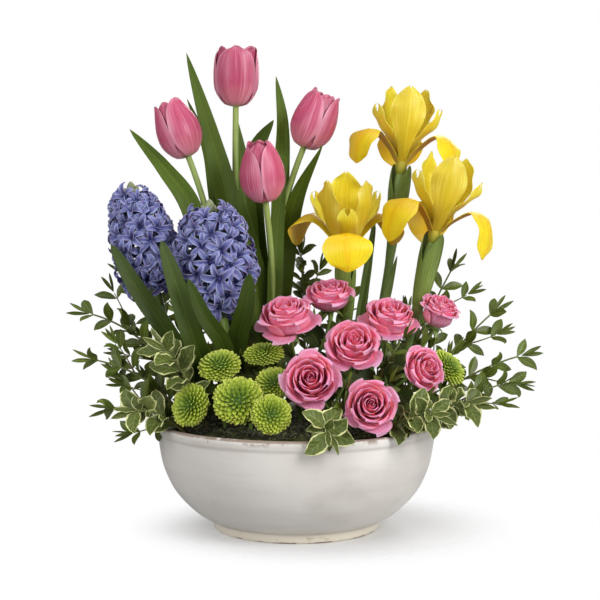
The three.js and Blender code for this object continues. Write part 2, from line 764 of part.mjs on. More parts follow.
// A dome of petals, each a point raised from it, in rings that step past one another.
function buttonBloom({ radius }) {
  return turned((angle, v, column, row) => {
    if (v === 0) return point(0, 0, 0);
    if (v === 1) return point(0, 0, radius * 0.74);
    const petal = (column + row) % 2 === 0;
    const out = radius * Math.pow(Math.sin(Math.PI * lerp(0.16, 0.97, v)), 0.6);
    const high = radius * 0.8 * Math.pow(v, 0.85);
    return around(angle, out * (petal ? 1.07 : 0.84), high + (petal ? 2 : -1));
  }, BUTTON.columns, BUTTON.rows);
}

const BUTTON_SPRAYS = [
  {
    foot: point(-62, -40),
    fork: point(-68, -42, 114),
    blooms: [
      { centre: point(-70, -64, 162), facing: point(-0.1, -0.55, 0.83), radius: 20, turn: 0 },
      { centre: point(-96, -76, 127), facing: point(-0.55, -0.75, 0.3), radius: 20, turn: 15 },
    ],
  },
  {
    foot: point(-20, -32),
    fork: point(-22, -38, 122),
    blooms: [
      { centre: point(-30, -52, 171), facing: point(-0.05, -0.3, 0.95), radius: 19, turn: 5 },
      { centre: point(-21, -68, 146), facing: point(-0.1, -0.7, 0.7), radius: 18, turn: 25 },
    ],
  },
  {
    foot: point(-42, -46),
    fork: point(-42, -60, 112),
    blooms: [
      { centre: point(-52, -92, 134), facing: point(-0.05, -0.85, 0.5), radius: 23, turn: 10 },
      { centre: point(-22, -110, 124), facing: point(0.15, -0.9, 0.35), radius: 18, turn: 0 },
    ],
  },
  {
    foot: point(76, -38),
    fork: point(100, -38, 122),
    blooms: [{ centre: point(140, -46, 158), facing: point(0.6, -0.45, 0.65), radius: 19, turn: 0 }],
  },
];

const BUTTON_LEAF = { length: 34, width: 10, lean: { out: 0.85, up: 0.4 } };
const BUTTON_SHAPE = {
  radius: 1.7,
  depth: ({ radius }) => radius * 0.4,
  collar: () => [{ before: 5, wide: 1.4 }, { before: 0, wide: 5 }],
  leaves: { kind: BUTTON_LEAF, columns: [3], light: FRONT },
};

// The blooms come first, and then the stems, whose leaves keep clear of all of them.
const sprayKinds = [
  { name: "rose", sprays: ROSE_SPRAYS, shape: ROSE_SHAPE, make: roseBloom },
  { name: "button", sprays: BUTTON_SPRAYS, shape: BUTTON_SHAPE, make: buttonBloom },
];
for (const { name, sprays, shape, make } of sprayKinds) {
  const blooms = sprays.flatMap((entry) => entry.blooms);
  blooms.forEach((bloom, i) => {
    addPiece(`${name}_${i + 1}`, make(bloom), name, poise(seated(bloom, shape.depth(bloom))));
  });
}
const bare = sprayKinds.flatMap(({ sprays, shape }) =>
  sprays.map((entry) => solid(spray(entry, shape))),
);
for (const { name, sprays, shape } of sprayKinds) {
  sprays.forEach((entry, i) => {
    const others = [...standing, ...bare, block];
    addPiece(`${name}_spray_${i + 1}_stems`, spray(entry, shape, others), "stem");
  });
}

// ---------------------------------------------------------------- leafy sprigs
const MYRTLE = { length: 26, width: 5.2, spacing: 19.5, lean: { out: 0.84, up: 0.56 } };
const PITTOSPORUM = { length: 31, width: 9, spacing: 13, lean: { out: 0.92, up: 0.4 } };

// A square stem with leaves in opposite pairs, each pair a quarter turn from the last.
function sprig({ kind, stem: ribs, bare: lower, light = FRONT }, index) {
  const curve = bend(...ribs);
  const shape = { side: squareTo(curve), sides: 4, radius: 1.7 };
  const length = curve.getLength();
  const exit = planted(curve, shape);
  const first = Math.max(lower, exit + 5 / length);
  const pairs = Math.round((length * (1 - first)) / kind.spacing);
  const nodes = Array.from({ length: pairs }, (_, i) => lerp(first, 0.97, i / (pairs - 1)));
  const stations = [0, exit, ...nodes.flatMap((v) => [v - 1.4 / length, v + 1.4 / length])];
  const others = [...standing, block];
  return grown(stations.map((v) => ringOn(curve, v, shape)), (column, row, face) => {
    const pair = (row - 2) / 2;
    if (row < 2 || row % 2 || column % 2 !== pair % 2) return null;
    const full = lerp(1, 0.75, pair / pairs) * (1 + 0.12 * wobble(index * 31 + row * 4 + column));
    return leafFrom(face, curve, nodes[pair], { kind, light, full, others });
  });
}

const MYRTLES = [
  { stem: [point(-72, 22, 60), point(-114, 46, 180), point(-168, 40, 240)], bare: 0.45 },
  { stem: [point(-84, 12, 60), point(-120, 16, 184), point(-198, -6, 205)], bare: 0.4 },
  { stem: [point(-84, -16, 60), point(-114, -28, 150), point(-190, -34, 164)], bare: 0.36 },
  { stem: [point(-80, -30, 60), point(-108, -44, 128), point(-172, -46, 120)], bare: 0.42 },
  { stem: [point(74, 28, 60), point(116, 36, 180), point(152, 34, 246)], bare: 0.5 },
  { stem: [point(84, 18, 60), point(130, 22, 150), point(190, 14, 205)], bare: 0.42 },
  { stem: [point(86, 2, 60), point(124, -6, 140), point(214, -14, 166)], bare: 0.42 },
  { stem: [point(82, -20, 60), point(128, -30, 122), point(190, -44, 142)], bare: 0.44 },
  { stem: [point(8, 46, 60), point(10, 58, 180), point(4, 56, 262)], bare: 0.55, light: FRONT },
  { stem: [point(-44, 56, 60), point(-74, 92, 150), point(-100, 106, 212)], bare: 0.34, light: BACK },
  { stem: [point(30, 64, 60), point(40, 100, 140), point(52, 112, 214)], bare: 0.34, light: BACK },
];
const PITTOSPORUMS = [
  { stem: [point(-70, -50, 60), point(-92, -60, 150), point(-120, -72, 178)], bare: 0.5 },
  { stem: [point(16, -72, 60), point(22, -112, 128), point(28, -136, 112)], bare: 0.46 },
  { stem: [point(54, -58, 60), point(90, -92, 130), point(120, -112, 124)], bare: 0.42 },
  { stem: [point(72, -56, 60), point(112, -66, 128), point(156, -82, 130)], bare: 0.46 },
  { stem: [point(-76, -42, 60), point(-112, -64, 124), point(-146, -76, 122)], bare: 0.46 },
];

MYRTLES.forEach((entry, i) => {
  addPiece(`myrtle_${i + 1}`, sprig({ kind: MYRTLE, ...entry }, i), "myrtle");
});
PITTOSPORUMS.forEach((entry, i) => {
  const made = sprig({ kind: PITTOSPORUM, ...entry }, i + 50);
  addPiece(`pittosporum_${i + 1}`, made, "variegated");
});

// ---------------------------------------------------------------- foam
addPiece("foam", geometryOf(holes.reduce((left, hole) => left.subtract(hole), block)), "foam");

export default arrangement;
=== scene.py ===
import math
from types import SimpleNamespace

import bpy
import numpy as np
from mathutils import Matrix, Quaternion, Vector


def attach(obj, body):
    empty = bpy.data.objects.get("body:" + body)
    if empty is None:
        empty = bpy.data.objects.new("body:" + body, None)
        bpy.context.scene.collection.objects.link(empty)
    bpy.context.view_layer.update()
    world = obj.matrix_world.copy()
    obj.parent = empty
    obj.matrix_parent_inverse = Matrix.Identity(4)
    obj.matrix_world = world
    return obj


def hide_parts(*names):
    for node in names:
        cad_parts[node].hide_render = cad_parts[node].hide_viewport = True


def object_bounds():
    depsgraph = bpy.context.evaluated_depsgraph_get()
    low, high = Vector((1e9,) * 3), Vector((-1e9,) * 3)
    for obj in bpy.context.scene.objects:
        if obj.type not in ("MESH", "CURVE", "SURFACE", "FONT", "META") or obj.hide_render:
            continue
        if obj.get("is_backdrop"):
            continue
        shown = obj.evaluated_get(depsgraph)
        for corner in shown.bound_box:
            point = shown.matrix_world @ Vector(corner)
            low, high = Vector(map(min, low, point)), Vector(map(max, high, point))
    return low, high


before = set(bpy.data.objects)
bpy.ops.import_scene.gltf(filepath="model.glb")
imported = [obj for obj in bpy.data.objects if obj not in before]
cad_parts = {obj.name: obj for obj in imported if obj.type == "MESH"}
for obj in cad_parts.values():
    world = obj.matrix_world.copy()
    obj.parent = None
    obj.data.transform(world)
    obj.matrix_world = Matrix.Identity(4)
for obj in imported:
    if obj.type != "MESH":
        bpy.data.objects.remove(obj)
cad_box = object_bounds()
# Lengths are in millimetres until a mesh is made. +Z is up and the front is -Y.

# ---------------------------------------------------------------- camera, floor and light
# A long lens a little above the rim, a grey floor that fades out into a white surround as a painted
# shadow around the bowl, and round soft lamps: a strong one high on the right, weaker ones from
# the left, above and behind, and a low one that reaches the bowl's right side through the clear part of the
# floor.
CAMERA = {"place": (0.0033, -1.400, 0.320), "down": 4.2, "lens": 88.4}
LAMPS = [
    # name, place, size and power
    ("key", (1.15, -1.15, 0.98), 0.9, 24.0), ("fill", (-1.0, -1.25, 0.7), 1.2, 14.0),
    ("low", (1.25, -0.6, -0.24), 0.7, 5.0), ("top", (-0.1, 0.1, 1.7), 1.0, 5.5),
    ("back", (0.5, 1.4, 0.9), 0.9, 9.0),
]
LIT_POINT = (0, 0, 0.2)
# Painted shadow: the floor is grey where it shows and turns clear beyond an oval whose middle sits a little
# right of the bowl, so a grey patch darkens the floor around the foot.
FLOOR = {"radius": 3.0, "sides": 64, "middle": (0.025, 0, 0), "oval": (1, 1.15, 1), "shadow_fade": (0.07, 0.195)}
FLOOR_SHADE_COLOUR = (0.72, 0.72, 0.72, 1)
SURROUND_RADIUS = 9.0
WORLD_STRENGTH = 0.3
WHITE = (1, 1, 1, 1)
scene = bpy.context.scene


def link_object(name, data):
    piece = bpy.data.objects.new(name, data)
    scene.collection.objects.link(piece)
    return piece


def new_material(name, **sockets):
    """A material and its shader, with the shader's sockets set by name."""
    material = bpy.data.materials.new(name)
    material.use_nodes = True
    shader = material.node_tree.nodes["Principled BSDF"]
    for key, value in sockets.items():
        shader.inputs[key.replace("_", " ")].default_value = value
    return material, shader


def add(beside, kind, inputs=None, **settings):
    """A new node in the material of another node or socket, with its sockets and settings."""
    node = beside.id_data.nodes.new("ShaderNode" + kind)
    for key, value in settings.items():
        setattr(node, key, value)
    for key, value in (inputs or {}).items():
        if isinstance(value, bpy.types.NodeSocket):
            connect(value, node.inputs[key])
        else:
            node.inputs[key].default_value = value
    return node


def connect(source, target):
    source.id_data.links.new(source, target)


def between(value, low, high):
    """0 below low and 1 above high, or the other way round where low is above high."""
    inputs = {"Value": value, "From Min": low, "From Max": high}
    return add(value, "MapRange", inputs, interpolation_type="SMOOTHSTEP").outputs[0]


def place_in(shader):
    return add(shader, "TexCoord").outputs["Object"]


def around(sides):
    return np.linspace(0, 2 * np.pi, sides, endpoint=False)


camera = link_object("camera", bpy.data.cameras.new("camera"))
camera.data.lens = CAMERA["lens"]
camera.data.sensor_width = 36
camera.location = CAMERA["place"]
camera.rotation_euler = (math.radians(90 - CAMERA["down"]), 0, 0)
scene.camera = camera

for name, place, size, power in LAMPS:
    light = bpy.data.lights.new(name, "AREA")
    light.shape = "DISK"
    light.size = size
    light.energy = power
    lamp = link_object(name, light)
    lamp.location = place
    lamp.rotation_euler = (Vector(LIT_POINT) - lamp.location).to_track_quat("-Z", "Y").to_euler()

mesh = bpy.data.meshes.new("floor")
edge = [(FLOOR["radius"] * math.cos(t), FLOOR["radius"] * math.sin(t), 0) for t in around(FLOOR["sides"])]
mesh.from_pydata(edge, [], [range(FLOOR["sides"])])
# The grey floor colour, fading to clear away from the bowl, is painted shadow.
material, shader = new_material("floor", Base_Color=FLOOR_SHADE_COLOUR, Roughness=0.9)
from_middle = add(shader, "VectorMath", {0: place_in(shader), 1: FLOOR["middle"]}, operation="SUBTRACT")
oval = add(shader, "VectorMath", {0: from_middle.outputs[0], 1: FLOOR["oval"]}, operation="MULTIPLY")
away = add(shader, "VectorMath", {0: oval.outputs[0]}, operation="LENGTH").outputs["Value"]
clear = add(shader, "BsdfTransparent").outputs[0]
faded = add(shader, "MixShader", {0: between(away, *FLOOR["shadow_fade"]), 1: shader.outputs[0], 2: clear})
connect(faded.outputs[0], material.node_tree.nodes["Material Output"].inputs[0])
mesh.materials.append(material)
link_object("floor", mesh)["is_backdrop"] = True

bpy.ops.mesh.primitive_uv_sphere_add(segments=32, ring_count=16, radius=SURROUND_RADIUS)
surround = bpy.context.object
surround.name = "surround"
material, shader = new_material("surround")
glow = add(shader, "Emission", {"Color": WHITE, "Strength": 1.0}).outputs[0]
connect(glow, material.node_tree.nodes["Material Output"].inputs[0])
surround.data.materials.append(material)
for ray in ("diffuse", "glossy", "transmission", "shadow"):
    setattr(surround, "visible_" + ray, False)
surround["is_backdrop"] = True

scene.view_settings.view_transform = "Standard"
scene.world = bpy.data.worlds.new("studio")
scene.world.use_nodes = True
background = scene.world.node_tree.nodes["Background"]
background.inputs[0].default_value = WHITE
background.inputs[1].default_value = WORLD_STRENGTH

# ---------------------------------------------------------------- bowl
# Thrown pottery with an off-white glaze brushed on over a cream slip: smudged grey in places,
# worn to the brown clay along its lip, and bare and spotted with tan at its foot.
BOWL_OUTSIDE = [
    (1, 0), (40, 0), (70, 0), (77, 0.1), (78.8, 0.8), (79.8, 3), (80.8, 6.4), (82, 8.8), (84.6, 10.6),
    (89, 12.8), (96, 17), (104, 24), (111.5, 32), (118, 41), (123.4, 52), (127.6, 64), (130.2, 77),
    (131.6, 88), (132.1, 92.4), (133.1, 95.2), (133.7, 98),
]
BOWL_LIP = [(133.9, 101), (133, 102.6), (131, 103.1), (128.8, 102.5), (127.6, 100.5)]
BOWL_INSIDE = [(125, 95), (123.5, 88), (109, 42), (93, 25), (66, 7.6), (1, 7.5)]
BOWL_HEIGHT = 103
BOWL_SIDES = 192
GLAZE_HEIGHTS = {
    # in metres: where each part of the finish starts, and where it is full
    "foot": (0.014, 0.005), "spotted": (0.02, 0.006), "base": (0.0022, 0.0008),
    "lip": (0.1006, 0.1022), "chipped": (0.0962, 0.1012),
    "over_groove": (0.0905, 0.0930), "under_groove": (0.0958, 0.0936),
    "over_joint": (0.0076, 0.0096), "under_joint": (0.0122, 0.0102),
}
MM = 0.001


def srgb(colour):
    """A screen colour, 0 to 255, as the linear one that a shader takes."""
    return tuple(((c / 255 + 0.055) / 1.055) ** 2.4 for c in colour) + (1.0,)


def calc(operation, first, second=0.0, third=0.0):
    """One step of arithmetic on a number that runs through a material."""
    return add(first, "Math", {0: first, 1: second, 2: third}, operation=operation).outputs[0]


def times(first, second):
    return calc("MULTIPLY", first, second)


def over(below, above, amount, strength=1.0):
    """One colour laid over another, by an amount from 0 to 1 times a strength."""
    factor = amount if strength == 1.0 else times(amount, strength)
    below, above = (srgb(colour) if isinstance(colour, tuple) else colour for colour in (below, above))
    return add(amount, "Mix", {0: factor, 6: below, 7: above}, data_type="RGBA").outputs[2]


def noise(place, scale, stretch=(1, 1, 1), detail=3.0, rough=0.5):
    spread = add(place, "Mapping", {"Vector": place, "Scale": stretch}).outputs[0]
    inputs = {"Vector": spread, "Scale": scale, "Detail": detail, "Roughness": rough}
    return add(place, "TexNoise", inputs).outputs["Fac"]


def bump(shader, height, strength, depth):
    inputs = {"Height": height, "Strength": strength, "Distance": depth}
    connect(add(shader, "Bump", inputs).outputs[0], shader.inputs["Normal"])


def glaze_material():
    material, shader = new_material("glaze", Roughness=0.42, Coat_Weight=0.12, Coat_Roughness=0.25)
    place = place_in(shader)
    height = add(shader, "SeparateXYZ", {0: place}).outputs["Z"]
    at = {part: between(height, *span) for part, span in GLAZE_HEIGHTS.items()}
    clouds = noise(place, 7, (1, 1, 1.3))
    smudges = noise(place, 10, (1, 1, 1.7), 4)
    strokes = noise(place, 20, (0.6, 0.6, 5), 4, 0.55)
    spots = noise(place, 70, (1, 1, 2.2), 4, 0.65)
    patches = noise(place, 34, detail=5, rough=0.7)
    lip = times(at["lip"], between(patches, 0.38, 0.48))
    chips = times(at["chipped"], between(patches, 0.52, 0.62))
    base = times(at["base"], between(spots, 0.46, 0.56))
    worn = calc("MAXIMUM", calc("MAXIMUM", lip, chips), base)
    colour = (219, 214, 208)
    for above, amount, strength in (
        ((198, 193, 186), between(clouds, 0.42, 0.7), 0.7),
        ((184, 178, 171), between(smudges, 0.55, 0.74), 0.6),
        ((196, 187, 176), between(strokes, 0.5, 0.78), 0.42),
        ((225, 216, 195), at["foot"], 0.7),
        ((172, 150, 118), times(at["spotted"], between(spots, 0.6, 0.7)), 0.6),
        ((118, 92, 70), worn, 0.8),
        ((142, 132, 120), times(at["over_groove"], at["under_groove"]), 0.16),
        ((150, 136, 116), times(at["over_joint"], at["under_joint"]), 0.35),
    ):
        colour = over(colour, above, amount, strength)
    connect(colour, shader.inputs["Base Color"])
    rough = add(shader, "MapRange", {"Value": worn, "To Min": 0.42, "To Max": 0.8}).outputs[0]
    connect(rough, shader.inputs["Roughness"])
    relief = calc("MULTIPLY_ADD", strokes, 0.5, noise(place, 110))
    bump(shader, calc("SUBTRACT", relief, worn), 0.22, 0.0009)
    return material


def through(rows, t):
    """The values at t, from 0 to 1, on a smooth curve through the rows."""
    rows = np.asarray(rows, float)
    padded = np.vstack([2 * rows[0] - rows[1], rows, 2 * rows[-1] - rows[-2]])
    place = np.clip(np.asarray(t, float), 0, 1) * (len(rows) - 1)
    step = np.minimum(place.astype(int), len(rows) - 2)
    f = (place - step)[..., None]
    before, start, end, after = (padded[step + k] for k in range(4))
    leave, arrive = 0.5 * (end - before), 0.5 * (after - start)
    rise = f * f * (3 - 2 * f)
    return start + rise * (end - start) + f * (1 - f) * ((1 - f) * leave - f * arrive)


def lathe(radius, height, sides):
    """Rings of points around +Z, from columns of radii and heights."""
    turn = around(sides)
    return np.stack([radius * np.cos(turn), radius * np.sin(turn), height + 0 * turn], -1)


def cap(ring):
    """Four-sided faces that close a ring of an even number of corners."""
    last = len(ring) - 1
    pairs = range(len(ring) // 2 - 1)
    return np.array([[ring[i], ring[i + 1], ring[last - i - 1], ring[last - i]] for i in pairs])


def turned(grid, slot=0, shade=0.5):
    """A closed body from rings of points: rows from one end to the other, columns around. Its
    marks are the way across, the way along, its own shade and its layer."""
    rows, sides = grid.shape[:2]
    at = np.arange(rows * sides).reshape(rows, sides)
    after = np.roll(at, -1, axis=1)
    walls = np.stack([at[:-1], after[:-1], after[1:], at[1:]], -1).reshape(-1, 4)
    faces = np.vstack([walls, cap(at[0][::-1]), cap(at[-1])])
    along = np.repeat(np.linspace(0, 1, rows), sides)
    marks = np.stack([np.full_like(along, 0.5), along, np.full_like(along, shade), 0 * along], -1)
    return {"points": grid.reshape(-1, 3), "faces": faces, "marks": marks,
            "rim": np.zeros(rows * sides, bool), "slots": np.full(len(faces), slot)}


def build(name, parts, materials, node=None):
    """One object from its parts, shown in place of a solid where its node is given."""
    starts = np.cumsum([0] + [len(part["points"]) for part in parts])
    faces = np.concatenate([part["faces"] + start for part, start in zip(parts, starts)])
    points, marks, rim, slots = (
        np.concatenate([part[key] for part in parts]) for key in ("points", "marks", "rim", "slots")
    )
    mesh = bpy.data.meshes.new(name)
    mesh.vertices.add(len(points))
    mesh.vertices.foreach_set("co", (points * MM).astype(np.float32).ravel())
    mesh.loops.add(faces.size)
    mesh.loops.foreach_set("vertex_index", faces.astype(np.int32).ravel())
    mesh.polygons.add(len(faces))
    mesh.polygons.foreach_set("loop_start", np.arange(0, faces.size, 4, dtype=np.int32))
    mesh.polygons.foreach_set("material_index", slots.astype(np.int32))
    mesh.polygons.foreach_set("use_smooth", np.ones(len(faces), bool))
    mesh.update(calc_edges=True)
    colours = mesh.color_attributes.new("marks", "FLOAT_COLOR", "POINT")
    colours.data.foreach_set("color", marks.astype(np.float32).ravel())
    ends = np.zeros(len(mesh.edges) * 2, np.int32)
    mesh.edges.foreach_get("vertices", ends)
    mesh.edges.foreach_set("use_edge_sharp", rim[ends].reshape(-1, 2).all(axis=1))
    for material in materials:
        mesh.materials.append(material)
    piece = link_object(name, mesh)
    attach(piece, "root")
    if node:
        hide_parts(node)


outline = ((BOWL_OUTSIDE, 90), (BOWL_LIP, 12), (BOWL_INSIDE, 40))
profile = np.vstack([through(rows, np.linspace(0, 1, count)) for rows, count in outline])
radius, height = profile[:, 0, None], profile[:, 1, None]
turn = around(BOWL_SIDES)
lift = np.clip(height / BOWL_HEIGHT, 0, 1)
uneven = (0.45 * np.sin(2 * turn + 0.7) + 0.25 * np.sin(5 * turn + height / 14)) * lift * (radius > 30)
wave = 0.5 * np.sin(3 * turn + 1.2) * lift ** 3 * (radius > 120)
thrown = lathe(radius + uneven, np.maximum(height, 0) + wave, BOWL_SIDES)
build("bowl_glazed", [turned(thrown)], [glaze_material()], "bowl")

# ---------------------------------------------------------------- foam and moss
# A block of soaked florist's foam fills the bowl, and a layer of loose moss hides it: short
# curled fronds and crumbs of brown stem, pressed on by hand.
FOAM = {"crown": 101, "flat": 98, "edge": 90, "rim": 121.5, "floor": 8, "sides": 96, "smooth": 119}
MOSS = {"fronds": 2600, "length": 8.5, "width": 1.5, "reach": 121}
UP = np.array([0.0, 0.0, 1.0])


def unit(rows):
    return rows / np.maximum(np.linalg.norm(rows, axis=-1, keepdims=True), 1e-9)


def outward(angle):
    """A level direction, out from the axis at an angle."""
    return np.array([math.cos(angle), math.sin(angle), 0])


def skin(grid, thick, shade=0.5, layer=0.0, under=None, slot=0):
    """A thin closed sheet around rows of points, from root to tip, across from edge to edge.
    under is the layer of its lower side, where that differs."""
    rows, columns = grid.shape[:2]
    normal = unit(np.cross(np.gradient(grid, axis=1), np.gradient(grid, axis=0)))
    u, v = np.meshgrid(np.linspace(-1, 1, columns), np.linspace(0, 1, rows))
    half = (thick / 2 * (1 - 0.55 * np.abs(u) ** 4))[..., None]
    points = np.concatenate([(grid + normal * half).reshape(-1, 3), (grid - normal * half).reshape(-1, 3)])
    at = np.arange(rows * columns).reshape(rows, columns)
    upper = np.stack([at[:-1, :-1], at[:-1, 1:], at[1:, 1:], at[1:, :-1]], -1).reshape(-1, 4)
    border = np.concatenate([at[0, :-1], at[:-1, -1], at[-1, :0:-1], at[:0:-1, 0]])
    after = np.roll(border, -1)
    count = rows * columns
    sides = np.stack([border + count, after + count, after, border], -1)
    faces = np.vstack([upper, upper[:, ::-1] + count, sides])
    marks = np.stack([(u + 1) / 2, v, np.full_like(u, shade), np.full_like(u, layer)], -1).reshape(-1, 4)
    lower = marks.copy()
    lower[:, 3] = layer if under is None else under
    rim = np.zeros(count, bool)
    rim[border] = True
    return {"points": points, "faces": faces, "marks": np.vstack([marks, lower]),
            "rim": np.concatenate([rim, rim]), "slots": np.full(len(faces), slot)}


def ribbon(rib, half, facing, across=6, fold=0.25, ruffle=0.0, waves=3.0, phase=0.0):
    """Points across a leaf: rib is its middle line and half its half widths. Its upper side
    faces facing, its halves fold up from the rib, and its edges ruffle."""
    u = np.linspace(-1, 1, across + 1)[None, :, None]
    v = np.linspace(0, 1, len(rib))[:, None, None]
    tangent = unit(np.gradient(rib, axis=0))
    right = unit(np.cross(tangent, facing))
    upward = np.cross(right, tangent)
    width = np.asarray(half)[:, None, None]
    edge = ruffle * np.sin(2 * np.pi * waves * v + phase + 1.3 * np.sign(u)) * np.abs(u) ** 2
    rise = fold * np.abs(u) ** 1.4 + edge
    return rib[:, None] + right[:, None] * u * width + upward[:, None] * rise * width


def marks_of(shader):
    """How far across, how far out from the rib, how far along, the shade and the layer."""
    found = add(shader, "Attribute", attribute_name="marks")
    across, along, shade = add(shader, "SeparateColor", {0: found.outputs["Color"]}).outputs
    out = calc("ABSOLUTE", calc("MULTIPLY_ADD", across, 2.0, -1.0))
    return SimpleNamespace(across=across, out=out, along=along, shade=shade, layer=found.outputs["Alpha"])


def ramp(factor, *stops):
    """A run of colours, each given with its place from 0 to 1."""
    node = add(factor, "ValToRGB", {0: factor})
    elements = node.color_ramp.elements
    while len(elements) < len(stops):
        elements.new(0.5)
    for element, (place, colour) in zip(elements, stops):
        element.position = place
        element.color = srgb(colour)
    return node.outputs[0]


def brighten(shader, colour, value):
    """The finished colour of a shader, lighter or darker by a value around 1."""
    toned = add(shader, "HueSaturation", {"Value": value, "Color": colour}).outputs[0]
    connect(toned, shader.inputs["Base Color"])


def varied(shader, colour, shade, amount, mottle=0.25, scale=90):
    """The colour, lighter or darker by the piece's own shade and mottled a little."""
    spread = calc("MULTIPLY_ADD", shade, amount, 1 - amount / 2)
    patch = calc("MULTIPLY_ADD", noise(place_in(shader), scale), mottle, 1 - mottle / 2)
    brighten(shader, colour, times(spread, patch))


def streaks(marks, lines, run=1.5):
    """Fine lines that run the length of a petal or leaf, different on each."""
    inputs = {"X": times(marks.across, lines), "Y": times(marks.along, run), "Z": times(marks.shade, 40.0)}
    place = add(marks.across, "CombineXYZ", inputs).outputs[0]
    return add(place, "TexNoise", {"Vector": place, "Scale": 1.0, "Detail": 3.0}).outputs["Fac"]


def moss_material():
    material, shader = new_material("moss", Roughness=0.9, Sheen_Weight=0.3)
    marks = marks_of(shader)
    colour = ramp(marks.shade, (0.0, (46, 34, 22)), (0.35, (62, 58, 28)), (0.6, (74, 88, 34)),
                  (1.0, (112, 124, 52)))
    varied(shader, over(colour, (128, 132, 70), marks.along, 0.35), marks.shade, 0.3, 0.6, 160)
    return material


def foam_material():
    material, shader = new_material("foam", Roughness=0.95)
    place = place_in(shader)
    clumps = noise(place, 60, detail=6, rough=0.7)
    colour = ramp(clumps, (0.35, (34, 28, 18)), (0.52, (58, 60, 28)), (0.7, (92, 104, 44)))
    connect(colour, shader.inputs["Base Color"])
    bump(shader, noise(place, 260, detail=5, rough=0.7), 0.9, 0.003)
    return material


def foam_height(radius):
    slope = (FOAM["crown"] - FOAM["edge"]) / (FOAM["rim"] - FOAM["flat"])
    return FOAM["crown"] - slope * np.maximum(0, radius - FOAM["flat"])


random = np.random.default_rng(11)
top = np.concatenate([[FOAM["rim"] + 0.5], np.linspace(FOAM["rim"], 1, 40)])
block = [(1, FOAM["floor"]), (64, FOAM["floor"]), (91, 26), (107, 43), *zip(top, foam_height(top))]
radius, height = np.array(block).T[:, :, None]
x, y = radius * np.cos(around(FOAM["sides"])), radius * np.sin(around(FOAM["sides"]))
lumps = sum(np.sin(x * a + y * b + c) for a, b, c in random.uniform(-0.35, 0.35, (9, 3)) * (1, 1, 9))
lumps = np.where(height > FOAM["edge"] - 2, 1 + 0.55 * lumps * (radius < FOAM["smooth"]), 0)
parts = [turned(lathe(radius, height + lumps, FOAM["sides"]))]
s = np.linspace(0, 1, 5)[:, None]
for _ in range(MOSS["fronds"]):
    out = outward(random.uniform(0, 2 * np.pi))
    away = MOSS["reach"] * math.sqrt(random.uniform(0, 1))
    root = out * away + UP * foam_height(away)
    lean = outward(random.uniform(0, 2 * np.pi))
    length = MOSS["length"] * random.uniform(0.5, 1.2)
    rib = root + lean * length * s + UP * (length * random.uniform(0.3, 0.9) * s * (1.25 - s))
    half = MOSS["width"] / 2 * np.sin(np.pi * np.linspace(0.25, 0.97, 5))
    parts.append(skin(ribbon(rib, half, UP, 2, 0.5), 0.3, random.uniform(0, 1), slot=1))
build("foam_and_moss", parts, [foam_material(), moss_material()], "foam")

# ---------------------------------------------------------------- tulips
# Cut tulips in mid pink, half closed: three petals outside and three inside, waxy, pale at the
# base and along the edges. Each stands on its own stem with long grey-green leaves.
STEM_END = 58
GAP = 0.5
TULIP_PETAL = [[4, 1, 40], [12, 3.8, 48], [20.2, 16, 60], [21.6, 30, 60], [20.2, 42, 56], [18.4, 50, 50],
               [16.4, 56, 42]]
STAMEN = [0.9, 0.9, 0.9, 0.9, 1.9, 2.1, 1.7, 0.5]
PISTIL = {"heights": (2, 12, 20, 23, 24.5), "radii": (2.6, 2.8, 2.6, 3.6, 1.5)}
TULIP_STEM = {"foot": 3.4, "neck": 2.9, "into_bloom": 3, "sides": 14}
TULIP_LEAF_FACING = (0.15, -1, 0.1)
TULIPS = [
    # each leaf is its widest half width, the points it runs through and its twist
    {"base": (-59, 40, 402), "facing": (0.02, -0.03, 1), "foot": (-50, 24), "turn": 240, "close": -0.12,
     "leaves": [(12.5, [(-56, 20, 215), (-64, 26, 300), (-82, 28, 372), (-106, 32, 453)], -18),
                (12, [(-48, 48, 220), (-52, 62, 320), (-62, 66, 400)], 25),
                (8, [(-66, 46, 220), (-80, 54, 315), (-89, 64, 362), (-108, 66, 411)], 30)]},
    {"base": (-104, 26, 353), "facing": (-0.36, 0, 0.93), "foot": (-66, 14), "turn": 40, "close": 0.24,
     "leaves": [(11, [(-82, 24, 230), (-101, 24, 303), (-127, 26, 342), (-161, 30, 380)], -20)]},
    {"base": (6.5, 38, 362), "facing": (0.38, 0, 0.92), "foot": (-14, 28), "turn": 78, "close": 0.16,
     "leaves": [(9, [(-20, 42, 230), (-16, 46, 330), (-14, 48, 385), (-20, 50, 432)], 20),
                (12, [(-15, 34, 216), (-12, 40, 264), (0, 40, 317), (25, 23, 365)], 48),
                (13, [(-36, 56, 230), (-46, 66, 310), (-40, 70, 360), (-23, 72, 391)], -25)]},
    {"base": (-29, -6, 310), "facing": (-0.12, -0.2, 0.97), "foot": (-30, 2), "turn": 180, "close": 0.3,
     "leaves": [(8, [(-22, 4, 220), (-18, 10, 293), (-10, 12, 357)], 25),
                (11, [(-38, 8, 220), (-44, 10, 265), (-56, 14, 322)], -20)]},
]


def petal_material(name, along, pale, deep, lines, rough, soft=(0.2, 0.004), middle=None):
    """A waxy petal: colours from root to tip, paler out to its edges, deeper by its layer, with
    fine veins that run its length and, where middle is given, a stripe down it. pale, deep and
    middle each start with a colour and how much of it shows. soft is how much light goes into
    the petal, and how far."""
    weight, scale = soft
    material, shader = new_material(name, Roughness=rough, Subsurface_Weight=weight, Subsurface_Scale=scale)
    marks = marks_of(shader)
    colour = over(ramp(marks.along, *along), pale[0], calc("POWER", marks.out, 5.0), pale[1])
    colour = over(colour, deep[0], marks.layer, deep[1])
    if middle:
        colour = over(colour, middle[0], between(marks.out, middle[2], 0.0), middle[1])
    fine = streaks(marks, lines)
    colour = over(colour, deep[0], between(fine, 0.42, 0.72), 0.34)
    colour = over(colour, pale[0], between(fine, 0.46, 0.26), 0.4)
    varied(shader, colour, marks.shade, 0.16, 0.14, 60)
    bump(shader, fine, 0.25, 0.0007)
    return material


